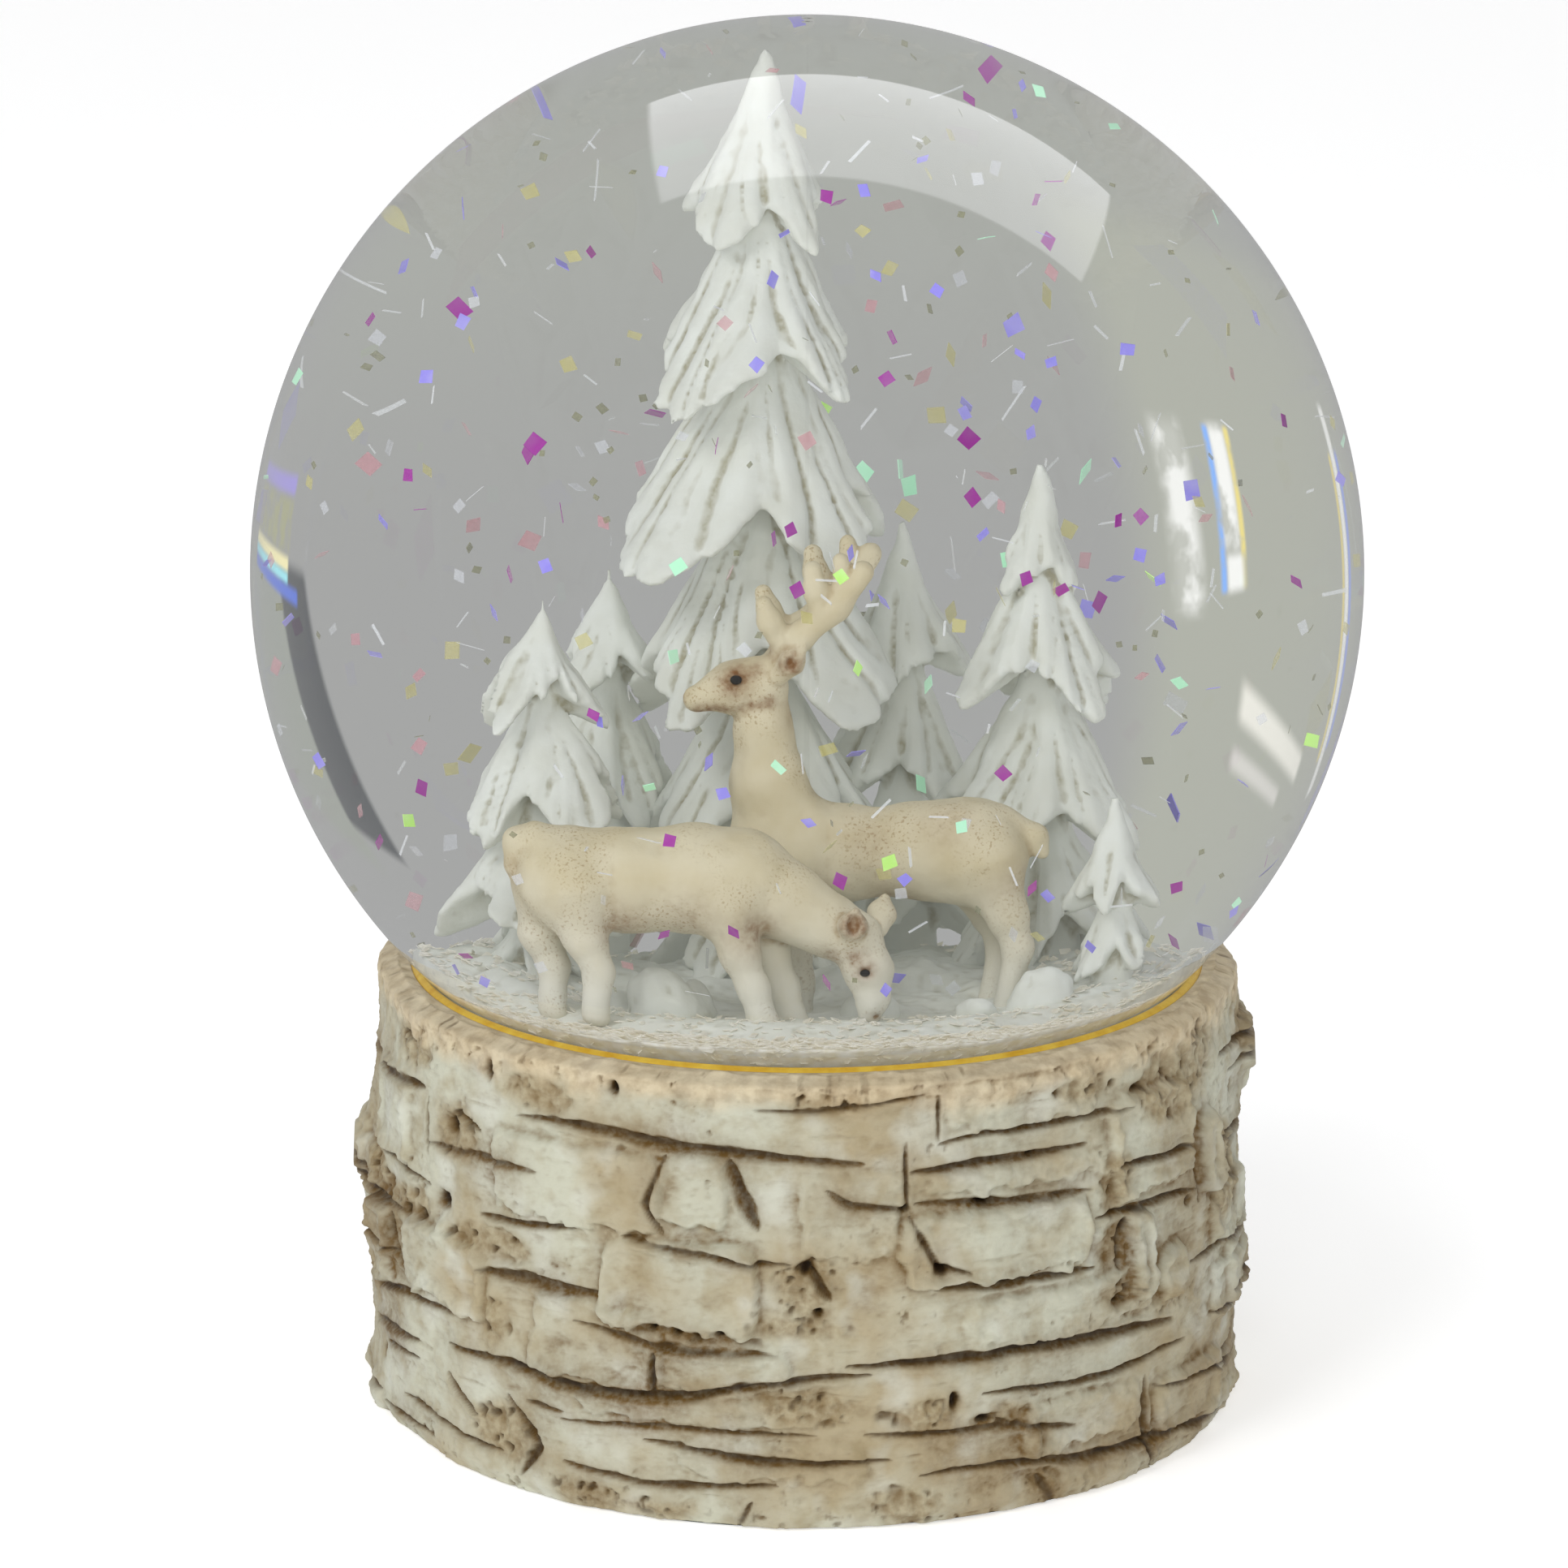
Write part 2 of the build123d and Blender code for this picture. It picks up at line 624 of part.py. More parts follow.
def mainspring():
    """Flat spiral strip, unwound against the housing wall."""
    turns, strip, first_r, last_r = 5, 0.3, 4.2, housing_r - 1.25
    steps = turns * 12

    def spiral(shift):
        return [
            (
                key_x + (first_r + (last_r - first_r) * k / steps + shift) * cos(2 * pi * turns * k / steps),
                key_y + (first_r + (last_r - first_r) * k / steps + shift) * sin(2 * pi * turns * k / steps),
            )
            for k in range(steps + 1)
        ]

    inside, outside = spiral(-strip / 2), spiral(strip / 2)
    with BuildPart() as spring:
        with BuildSketch(Plane.XY.offset(spring_bottom)):
            with BuildLine():
                Spline(*inside)
                Line(inside[-1], outside[-1])
                Spline(*reversed(outside))
                Line(outside[0], inside[0])
            make_face()
        extrude(amount=spring_top - spring_bottom)
    return keep("mainspring", spring.part)


bracket_left, bracket_thick = 0.45, 0.8
governor_inner, governor_outer = 20.5, 23.8


def cylinder_bracket():
    """Upright with the drum's bearing at the pinion end."""
    with BuildPart() as bracket:
        with BuildSketch(Plane.YZ.offset(bracket_left)):
            with Locations((drum_y + 2, (plate_top + drum_z + 2.5) / 2)):
                Rectangle(8, drum_z + 2.5 - plate_top)
            with Locations((drum_y, drum_z)):
                Circle(0.8, mode=Mode.SUBTRACT)
        extrude(amount=bracket_thick)
    return keep("cylinder_bracket", bracket.part)


def governor_frame():
    """U-shaped bracket that carries the drum's far end, the governor shaft and the fly."""
    arm_bottom, arm_thick = 21.7, 0.8
    foot_thick = 0.6
    arm_low, arm_high = fly_y - 1.5, fly_y + 1.5
    walls = ((governor_inner, drum_y - 2.4, arm_low - 0.6), (governor_outer, drum_y - 2.4, arm_high))
    with BuildPart() as frame:
        for x, low, high in walls:
            with BuildSketch(Plane.YZ.offset(x)):
                with Locations(((low + high) / 2, (plate_top + arm_bottom + arm_thick) / 2)):
                    Rectangle(high - low, arm_bottom + arm_thick - plate_top)
                with Locations((governor_y, drum_z)):
                    Circle(0.55, mode=Mode.SUBTRACT)
                with Locations((drum_y, drum_z)):
                    Circle(0.8, mode=Mode.SUBTRACT)
            extrude(amount=bracket_thick)
        # foot that joins the two walls
        with BuildSketch(Plane.XY.offset(plate_top)):
            with Locations(((governor_inner + governor_outer + bracket_thick) / 2, drum_y + 1.6)):
                Rectangle(governor_outer + bracket_thick - governor_inner, 8)
        extrude(amount=foot_thick)
        # arm over the worm, held by the outer wall
        with BuildSketch(Plane.XY.offset(arm_bottom)):
            with Locations((governor_outer - 1.2, (arm_low + arm_high) / 2)):
                Rectangle(4.0, arm_high - arm_low)
            with Locations((fly_x, fly_y)):
                Circle(0.45, mode=Mode.SUBTRACT)
        extrude(amount=arm_thick)
    return keep("governor_frame", frame.part)


def governor_worm():
    """Single-start worm on the fly's shaft, in mesh with the governor wheel."""
    core_r, tip_r, turns = worm_r - 0.4, worm_r + 0.28, 3
    bottom = drum_z - worm_pitch * (turns / 2 + 0.75)
    with BuildPart() as worm:
        with BuildSketch(Plane.XY.offset(bottom - 0.6)):
            with Locations((fly_x, fly_y)):
                Circle(core_r)
                Circle(0.4, mode=Mode.SUBTRACT)
        extrude(amount=turns * worm_pitch + 1.2)
        with BuildLine():
            path = Helix(worm_pitch, turns * worm_pitch, core_r, center=(fly_x, fly_y, bottom))
        with BuildSketch(Plane(origin=path @ 0, x_dir=(1, 0, 0), z_dir=path % 0)):
            Polygon((-0.12, -0.2), (tip_r - core_r, -0.1), (tip_r - core_r, 0.1), (-0.12, 0.2), align=None)
        sweep(path=path, is_frenet=True)
    return keep("governor_worm", worm.part)


def air_brake_fly():
    """Two soft vanes that slow the train."""
    vane_bottom, vane_high, reach = 24.1, 2.2, 3.9
    with BuildPart() as fly:
        with BuildSketch(Plane.XY.offset(vane_bottom)):
            with Locations((fly_x, fly_y)):
                Circle(1.1)
                Rectangle(2 * reach, 0.5)
                Circle(0.4, mode=Mode.SUBTRACT)
        extrude(amount=vane_high)
    return keep("air_brake_fly", fly.part)


def main():
    glass_globe()
    rubber_stopper()
    birch_base()
    ring("gold_trim_ring", trim_bottom, trim_top, trim_inner_r, trim_outer_r, soften=0.4)
    ring("silicone_seal", seal_bottom, seal_top, neck_r, neck_hole_r)
    ring("felt_pad", 0, felt_thick, recess_r + 0.3, base_bottom_r - 1.2)

    snow_ground()
    settled_snow()
    fir("tall_fir", -3.2, 8.8, 112.0, ((98, 5.6, 1.9), (88, 7.4, 3.2), (75, 9.6, 4.4), (63.5, 11.2, 5.4)),
        ["snow_ground"])
    fir("left_fir", -18.0, 0, 73.4, ((65.0, 6.4, 2.0), (57.5, 6.8, 3.6), (50.2, 7.4, 4.4)),
        ["snow_ground", "tall_fir"])
    fir("right_fir", 15.4, 7.2, 81.2, ((73.2, 3.4, 1.4), (65.4, 6.3, 2.4), (54.0, 8.2, 3.8)),
        ["snow_ground", "tall_fir"])
    fir("middle_fir", 6.1, 14.4, 76.0, ((66.0, 5.0, 1.8), (57.5, 6.6, 3.0)),
        ["snow_ground", "tall_fir", "right_fir"])
    fir("back_fir", -12.9, 13.4, 72.4, ((65.0, 4.8, 1.8), (56.5, 6.2, 3.0)),
        ["snow_ground", "tall_fir", "left_fir"])
    fir("small_fir", 21.2, -4.4, 60.6, ((52.8, 4.4, 1.6),), ["snow_ground", "right_fir"])
    boulders()
    deer("stag", stag_limbs)
    deer("doe", doe_limbs)
    glitter_flakes()
    scene = ["snow_ground", "settled_snow", "tall_fir", "left_fir", "right_fir", "middle_fir",
             "back_fir", "small_fir", "boulders", "stag", "doe", "glitter_flakes", "rubber_stopper"]
    liquid_fill(scene)

    bottom_cover()
    countersunk_screws("cover_screws", cover_screws_at, 6.0)
    countersunk_screws("movement_screws", movement_screws_at, 2.6)
    winding_key()
    shaft("winding_arbor", (key_x, key_y, 2.8), (0, 0, 1), arbor_r, 20.9)

    movement_bedplate()
    tone_comb()
    comb_screws()
    music_cylinder()
    shaft("cylinder_shaft", (-1.5, drum_y, drum_z), (1, 0, 0), 0.75, 22.9)
    spur_gear("cylinder_pinion", -1.5, 1.4, drum_y, cylinder_pinion_teeth, first_module, 0.75, 0.34, 90)
    spur_gear("cylinder_gear", 19.1, 0.9, drum_y, gear_teeth, second_module, 0.75, 0.32, 0)
    great_wheel()
    ratchet_wheel()
    click_spring()
    spring_housing()
    mainspring()
    cylinder_bracket()
    governor_frame()
    shaft("governor_shaft", (18.9, governor_y, drum_z), (1, 0, 0), 0.5, 5.9)
    spur_gear("governor_pinion", 19.1, 0.9, governor_y, governor_pinion_teeth, second_module, 0.5, 0.32,
              180 / governor_pinion_teeth)
    spur_gear("governor_wheel", 21.65, 0.9, governor_y, governor_wheel_teeth, third_module, 0.5, 0.36, 0)
    governor_worm()
    air_brake_fly()
    shaft("fly_shaft", (fly_x, fly_y, plate_top), (0, 0, 1), 0.4, 15.1)


if __name__ == "__main__":
    main()
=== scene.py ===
"""Looks for the musical snow globe: glass, water, glitter, the sculpted winter scene and the birch base.

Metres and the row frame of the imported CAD: +Z up, the origin under the middle, the front towards -Y.
Sculpted pieces are worked out in millimetres and scaled by MM when their mesh is made.
"""

import json
import math
import random

import bpy
import numpy as np
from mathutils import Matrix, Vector
from mathutils.bvhtree import BVHTree


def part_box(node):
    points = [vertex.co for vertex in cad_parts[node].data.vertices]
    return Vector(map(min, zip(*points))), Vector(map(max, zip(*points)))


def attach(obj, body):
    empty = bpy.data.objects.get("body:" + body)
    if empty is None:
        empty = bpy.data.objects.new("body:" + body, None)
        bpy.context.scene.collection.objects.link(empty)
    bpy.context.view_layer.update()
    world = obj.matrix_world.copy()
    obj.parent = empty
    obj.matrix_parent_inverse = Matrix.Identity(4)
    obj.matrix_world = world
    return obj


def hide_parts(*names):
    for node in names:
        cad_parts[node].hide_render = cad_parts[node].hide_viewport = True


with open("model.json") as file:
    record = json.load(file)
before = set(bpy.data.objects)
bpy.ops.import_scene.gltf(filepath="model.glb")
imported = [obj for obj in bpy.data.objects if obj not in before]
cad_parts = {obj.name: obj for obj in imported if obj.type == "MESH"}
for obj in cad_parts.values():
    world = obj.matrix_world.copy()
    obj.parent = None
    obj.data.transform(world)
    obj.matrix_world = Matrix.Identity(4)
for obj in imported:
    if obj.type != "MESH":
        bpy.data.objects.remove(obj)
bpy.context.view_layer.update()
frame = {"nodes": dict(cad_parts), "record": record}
MM = 0.001
ROOT = "globe_on_base"
TAU = 2 * math.pi

# ---- sizes, read off the CAD where it has them (millimetres) --------------------------------


def cad_mm(node):
    """Lowest and highest corner of a CAD node in millimetres."""
    low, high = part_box(node)
    return np.array(low) / MM, np.array(high) / MM


ball_low, ball_high = cad_mm("glass_globe")
ball_r = 50.0
ball_z = ball_high[2] - ball_r
wall = 2.2
water_r = ball_r - wall
neck_r = 29.5
neck_low = ball_low[2]
plug_r = neck_r - wall
stopper_top = cad_mm("rubber_stopper")[1][2]
trim_low, trim_high = (corner[2] for corner in cad_mm("gold_trim_ring"))
base_low, base_top = (corner[2] for corner in cad_mm("birch_base"))
ground_r = cad_mm("snow_ground")[1][0]
scene_low = 44.0  # the foot of the trees, hidden in the snow
bark_r = 39.8  # where the bark's height map is unrolled


# ---- noise, meshes and clay -----------------------------------------------------------------
def lattice(seed, size=32):
    return np.random.default_rng(seed).random((size, size, size), dtype=np.float32) * 2 - 1


def noise(x, y, z, scale, seed):
    """Smooth value noise from -1 to 1, with features about scale millimetres wide."""
    values = lattice(seed)
    n = values.shape[0]
    cells, eased = [], []
    for axis in (x, y, z):
        spot = np.asarray(axis, np.float32) / scale + 1000.5
        whole = np.floor(spot)
        part = spot - whole
        cells.append(whole.astype(np.int32) % n)
        eased.append(part * part * (3 - 2 * part))
    (i, j, k), (u, v, w) = cells, eased
    i1, j1, k1 = (i + 1) % n, (j + 1) % n, (k + 1) % n
    low = (values[i, j, k] * (1 - u) + values[i1, j, k] * u) * (1 - v)
    low += (values[i, j1, k] * (1 - u) + values[i1, j1, k] * u) * v
    high = (values[i, j, k1] * (1 - u) + values[i1, j, k1] * u) * (1 - v)
    high += (values[i, j1, k1] * (1 - u) + values[i1, j1, k1] * u) * v
    return low * (1 - w) + high * w


def layered_noise(x, y, z, scale, seed, layers=3):
    total, weight = 0.0, 1.0
    for layer in range(layers):
        total = total + weight * noise(x, y, z, scale / 2**layer, seed + layer)
        weight *= 0.5
    return total


def smooth_step(low, high, value):
    t = np.clip((value - low) / (high - low), 0, 1)
    return t * t * (3 - 2 * t)


def smooth_min(a, b, blend):
    """The lower of two fields, with the corner between them filled over that distance."""
    near = np.maximum(blend - np.abs(a - b), 0) / blend
    return np.minimum(a, b) - near * near * blend / 4


def smooth_max(a, b, blend):
    return -smooth_min(-a, -b, blend)


def mesh_piece(name, points, faces, material, smooth=True):
    """A mesh object from points in millimetres."""
    mesh = bpy.data.meshes.new(name)
    points = np.ascontiguousarray(points, np.float32) * np.float32(MM)
    faces = np.ascontiguousarray(faces, np.int32)
    mesh.vertices.add(len(points))
    mesh.vertices.foreach_set("co", points.ravel())
    mesh.loops.add(faces.size)
    mesh.loops.foreach_set("vertex_index", faces.ravel())
    mesh.polygons.add(len(faces))
    mesh.polygons.foreach_set("loop_start", np.arange(len(faces), dtype=np.int32) * faces.shape[1])
    mesh.update(calc_edges=True)
    mesh.polygons.foreach_set("use_smooth", np.full(len(faces), smooth))
    mesh.materials.append(material)
    piece = bpy.data.objects.new(name, mesh)
    bpy.context.scene.collection.objects.link(piece)
    return piece


def turned(radius, turn, height):
    """Points at a radius and a height for every turn about the upright axis."""
    return np.stack(np.broadcast_arrays(radius * np.cos(turn), radius * np.sin(turn), height), axis=-1)


def vertex_vectors(mesh, key):
    """A vector of every vertex, such as its place or its normal."""
    values = np.empty(len(mesh.vertices) * 3, np.float32)
    mesh.vertices.foreach_get(key, values)
    return values.reshape(-1, 3)


def point_value(piece, name, values):
    """Store one number per vertex, for a material to read."""
    attribute = piece.data.attributes.new(name, "FLOAT", "POINT")
    attribute.data.foreach_set("value", np.ascontiguousarray(values, np.float32))


def crease(piece, rounds=3):
    """How hollow the surface is at each vertex, from -1 on ridges to 1 in creases."""
    mesh = piece.data
    count = len(mesh.vertices)
    co, normal = vertex_vectors(mesh, "co"), vertex_vectors(mesh, "normal")
    ends = np.empty(len(mesh.edges) * 2, np.int32)
    mesh.edges.foreach_get("vertices", ends)
    a, b = ends.reshape(-1, 2).T
    links = np.bincount(a, minlength=count) + np.bincount(b, minlength=count)

    def around(values):
        total = np.bincount(a, weights=values[b], minlength=count)
        return (total + np.bincount(b, weights=values[a], minlength=count)) / np.maximum(links, 1)

    step = np.linalg.norm(co[a] - co[b], axis=1).mean()
    pull = np.stack([around(co[:, k]) for k in range(3)], axis=1) - co
    hollow = (pull * normal).sum(1) / step
    for _ in range(rounds):
        hollow = 0.5 * hollow + 0.5 * around(hollow)
    return np.clip(hollow * 6, -1, 1)


class Clay:
    """A block of clay: a distance field on a grid that rounded shapes are pressed into."""

    def __init__(self, low, high, step):
        self.low, self.step = np.array(low, float), step
        counts = np.ceil((np.array(high) - self.low) / step).astype(int) + 1
        self.axes = [self.low[k] + step * np.arange(counts[k]) for k in range(3)]
        self.field = np.full(counts, 3.0, np.float32)

    def window(self, low, high):
        """Index slices and broadcast coordinates of the grid between two corners."""
        cut = []
        for axis, a, b in zip(self.axes, low, high):
            first, last = np.searchsorted(axis, (a, b))
            cut.append(slice(max(first - 1, 0), min(last + 1, len(axis))))
        x, y, z = (axis[c].astype(np.float32) for axis, c in zip(self.axes, cut))
        return tuple(cut), x[:, None, None], y[None, :, None], z[None, None, :]

    def everywhere(self):
        return self.window([axis[0] for axis in self.axes], [axis[-1] for axis in self.axes])

    def limb(self, points, blend):
        """Press in a chain of round cones through points (x, y, z, radius)."""
        for first, second in zip(points, points[1:]):
            self.cone(first, second, blend)

    def cone(self, first, second, blend):
        a, b = np.array(first[:3], np.float32), np.array(second[:3], np.float32)
        ra, rb = first[3], second[3]
        reach = max(ra, rb) + blend + 1.0
        cut, x, y, z = self.window(np.minimum(a, b) - reach, np.maximum(a, b) + reach)
        along = b - a
        length2 = float(along @ along) + 1e-9
        t = ((x - a[0]) * along[0] + (y - a[1]) * along[1] + (z - a[2]) * along[2]) / length2
        t = np.clip(t, 0, 1)
        dx, dy, dz = x - a[0] - t * along[0], y - a[1] - t * along[1], z - a[2] - t * along[2]
        shape = np.sqrt(dx * dx + dy * dy + dz * dz) - (ra + t * (rb - ra))
        self.field[cut] = smooth_min(self.field[cut], shape, blend)

    def ball(self, centre, radii, blend, carve=False):
        """Press in an upright ellipsoid, or carve one out."""
        centre, radii = np.array(centre, np.float32), np.array(radii, np.float32)
        reach = radii + blend + 1.0
        cut, x, y, z = self.window(centre - reach, centre + reach)
        size = ((x - centre[0]) / radii[0]) ** 2 + ((y - centre[1]) / radii[1]) ** 2
        size = np.sqrt(size + ((z - centre[2]) / radii[2]) ** 2)
        shape = (size - 1) * float(radii.min())
        if carve:
            self.field[cut] = smooth_max(self.field[cut], -shape, blend)
        else:
            self.field[cut] = smooth_min(self.field[cut], shape, blend)

    def skin(self, name, material):
        """The clay's surface as a mesh: one point in each crossed cell, joined across crossed edges."""
        field = self.field
        corners = [(i, j, k) for i in (0, 1) for j in (0, 1) for k in (0, 1)]
        size = np.array(field.shape) - 1

        def corner(c):
            return field[c[0] : c[0] + size[0], c[1] : c[1] + size[1], c[2] : c[2] + size[2]]

        inside = sum((corner(c) < 0).astype(np.int8) for c in corners)
        cells = np.argwhere((inside > 0) & (inside < 8))
        number = np.full(size, -1, np.int32)
        number[tuple(cells.T)] = np.arange(len(cells))
        total = np.zeros((len(cells), 3), np.float32)
        hits = np.zeros(len(cells), np.float32)
        for c in corners:
            for axis in range(3):
                if c[axis]:
                    continue
                d = list(c)
                d[axis] = 1
                fa = field[tuple((cells + c).T)]
                fb = field[tuple((cells + d).T)]
                crossed = (fa < 0) != (fb < 0)
                t = np.where(crossed, fa / np.where(crossed, fa - fb, 1), 0)
                spot = np.tile(np.array(c, np.float32), (len(cells), 1))
                spot[:, axis] = t
                total += spot * crossed[:, None]
                hits += crossed
        points = (cells + total / hits[:, None]) * self.step + self.low
        faces = []
        for axis in range(3):
            u, v = (axis + 1) % 3, (axis + 2) % 3
            ahead = [slice(None)] * 3
            here = [slice(None)] * 3
            ahead[axis], here[axis] = slice(1, None), slice(None, -1)
            one, two = field[tuple(here)] < 0, field[tuple(ahead)] < 0
            spots = np.argwhere(one != two)
            spots = spots[(spots[:, u] > 0) & (spots[:, v] > 0)]
            spots = spots[(spots < size).all(axis=1)]
            rising = one[tuple(spots.T)]
            quad = []
            for du, dv in ((0, 0), (1, 0), (1, 1), (0, 1)):
                cell = spots.copy()
                cell[:, u] -= du
                cell[:, v] -= dv
                quad.append(number[tuple(cell.T)])
            quad = np.stack(quad, axis=1)
            quad[~rising] = quad[~rising][:, ::-1]
            faces.append(quad)
        return mesh_piece(name, points, np.concatenate(faces), material)


def lathe(name, outline, material, around):
    """A closed surface of revolution from an outline of (radius, height), run clockwise seen from the front."""
    outline = np.array(outline, float)
    rows, turn = len(outline), np.linspace(0, TAU, around, endpoint=False)
    points = turned(outline[:, :1], turn, outline[:, 1:])
    return mesh_piece(name, points.reshape(-1, 3), ring_faces(rows, around), material)


def ring_faces(rows, around, closed=True):
    """Quads of a tube of rows by around points."""
    i, j = np.meshgrid(np.arange(rows if closed else rows - 1), np.arange(around), indexing="ij")
    up, side = (i + 1) % rows, (j + 1) % around
    quads = [i * around + j, i * around + side, up * around + side, up * around + j]
    return np.stack(quads, axis=-1).reshape(-1, 4)


def belong(piece):
    """Give a piece of the globe its body."""
    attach(piece, ROOT)
    return piece


def settle(piece, node):
    """Put a finished piece in the place of a CAD node."""
    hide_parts(node)
    return belong(piece)


# ---- materials ------------------------------------------------------------------------------
def rgb(r, g, b):
    """Linear colour from the 0 to 255 values a screen shows."""
    return tuple(((c / 255 + 0.055) / 1.055) ** 2.4 if c > 10 else c / 255 / 12.92 for c in (r, g, b)) + (1.0,)


def add_node(tree, kind, links=(), **settings):
    """A shader node with its settings made and its inputs set or linked."""
    made = tree.nodes.new(kind)
    for key, value in settings.items():
        setattr(made, key, value)
    for socket, source in links:
        if isinstance(source, bpy.types.NodeSocket):
            tree.links.new(source, made.inputs[socket])
        else:
            made.inputs[socket].default_value = source
    return made


def mixed_colour(tree, share, a, b):
    """Colour a going over to colour b; the Mix node's colour sockets are known by number."""
    return add_node(tree, "ShaderNodeMix", [(0, share), (6, a), (7, b)], data_type="RGBA").outputs[2]


class Paint:
    """Short hand for a node material."""

    def __init__(self, name, **shader):
        self.material = bpy.data.materials.new(name)
        self.material.use_nodes = True
        self.tree = self.material.node_tree
        self.shader = self.tree.nodes["Principled BSDF"]
        self.output = self.tree.nodes["Material Output"]
        for socket, value in shader.items():
            self.shader.inputs[socket.replace("_", " ")].default_value = value
        self.place = self.node("ShaderNodeTexCoord").outputs["Object"]

    def node(self, kind, links=(), **settings):
        return add_node(self.tree, kind, links, **settings)

    def set(self, socket, source):
        self.tree.links.new(source, self.shader.inputs[socket])

    def attribute(self, name):
        return self.node("ShaderNodeAttribute", attribute_name=name).outputs["Fac"]

    def mottle(self, size_mm, detail=3.0, stretch=(1, 1, 1), roughness=0.5):
        """Noise from 0 to 1 with features about that wide."""
        scaled = self.node("ShaderNodeMapping", [("Vector", self.place), ("Scale", stretch)]).outputs[0]
        links = [("Vector", scaled), ("Scale", 1 / (size_mm * MM)), ("Detail", detail), ("Roughness", roughness)]
        return self.node("ShaderNodeTexNoise", links).outputs["Fac"]

    def band(self, source, low, high, out_low=0.0, out_high=1.0):
        links = [("Value", source), ("From Min", low), ("From Max", high), ("To Min", out_low), ("To Max", out_high)]
        return self.node("ShaderNodeMapRange", links).outputs[0]

    def math(self, operation, a, b):
        return self.node("ShaderNodeMath", [(0, a), (1, b)], operation=operation).outputs[0]

    def mix(self, share, a, b):
        return mixed_colour(self.tree, share, a, b)

    def relief(self, height, distance_mm, strength):
        links = [("Height", height), ("Distance", distance_mm * MM), ("Strength", strength)]
        self.set("Normal", self.node("ShaderNodeBump", links).outputs["Normal"])

    def surface(self, shader):
        """Put another shader's output in the place of the ready-made one."""
        self.tree.links.new(shader, self.output.inputs["Surface"])
        self.tree.nodes.remove(self.shader)
        return self.material


def clear(name, colour, ior):
    """Smooth glass that lets lamps light what is behind it."""
    paint = Paint(name)
    glass = paint.node("ShaderNodeBsdfGlass", [("Color", colour), ("Roughness", 0.0), ("IOR", ior)])
    open_side = paint.node("ShaderNodeBsdfTransparent", [("Color", colour)])
    path = paint.node("ShaderNodeLightPath")
    lit = paint.math("MAXIMUM", path.outputs["Is Shadow Ray"], path.outputs["Is Diffuse Ray"])
    mixed = paint.node("ShaderNodeMixShader", [(0, lit), (1, glass.outputs[0]), (2, open_side.outputs[0])])
    return paint.surface(mixed.outputs[0])


def cast_resin(name, body, shade, wash_and_shade, strength, stain=None, pale=None):
    """Matt painted casting: slightly uneven colour, painted shade and a brown tint in the creases, painted stains,
    fine grain.

    strength: how much painted crease shade and brown tint the creases get. stain: colour of brushed-on spots.
    pale: colour of an animal's lower parts, which then also has fine fur marks.
    """
    # Snow glows faintly in its own colour: painted light that lifts its shaded parts; the animals do not glow.
    painted_glow = 0.0 if pale else 0.07
    paint = Paint(name, Roughness=0.62, Specular_IOR_Level=0.35, Emission_Color=body, Emission_Strength=painted_glow)
    colour = paint.mix(paint.band(paint.mottle(3.5), 0.35, 0.7), body, shade)
    if pale:
        height = paint.node("ShaderNodeSeparateXYZ", [("Vector", paint.place)]).outputs["Z"]
        low_down = paint.band(height, 0.0475, 0.0575, 0.9, 0.0)
        uneven = paint.band(paint.mottle(2.0), 0.2, 0.5, 0.7, 1.0)
        colour = paint.mix(paint.math("MULTIPLY", low_down, uneven), colour, pale)
        fur = paint.band(paint.mottle(0.22, 2.0), 0.56, 0.66, 0.0, 0.55)
        patchy = paint.band(paint.mottle(5.0, 2.0), 0.45, 0.62)
        colour = paint.mix(paint.math("MULTIPLY", fur, patchy), colour, wash_and_shade)
    speckle = paint.band(paint.mottle(0.45, 3.0), 0.35, 0.65, 0.55, 1.0)
    # The creases are darkened towards the brownish colour: painted shade where less light falls, together with the
    # casting's brown tint.
    hollow = paint.band(paint.attribute("hollow"), 0.02, 0.48, 0.0, strength)
    colour = paint.mix(paint.math("MULTIPLY", hollow, speckle), colour, wash_and_shade)
    if stain:
        spots = paint.math("MULTIPLY", paint.attribute("stain"), speckle)
        colour = paint.mix(spots, colour, stain)
    paint.set("Base Color", colour)
    paint.set("Roughness", paint.band(paint.mottle(1.2), 0.3, 0.7, 0.5, 0.75))
    paint.relief(paint.mottle(0.35, 4.0), 0.05, 0.5)
    return paint.material


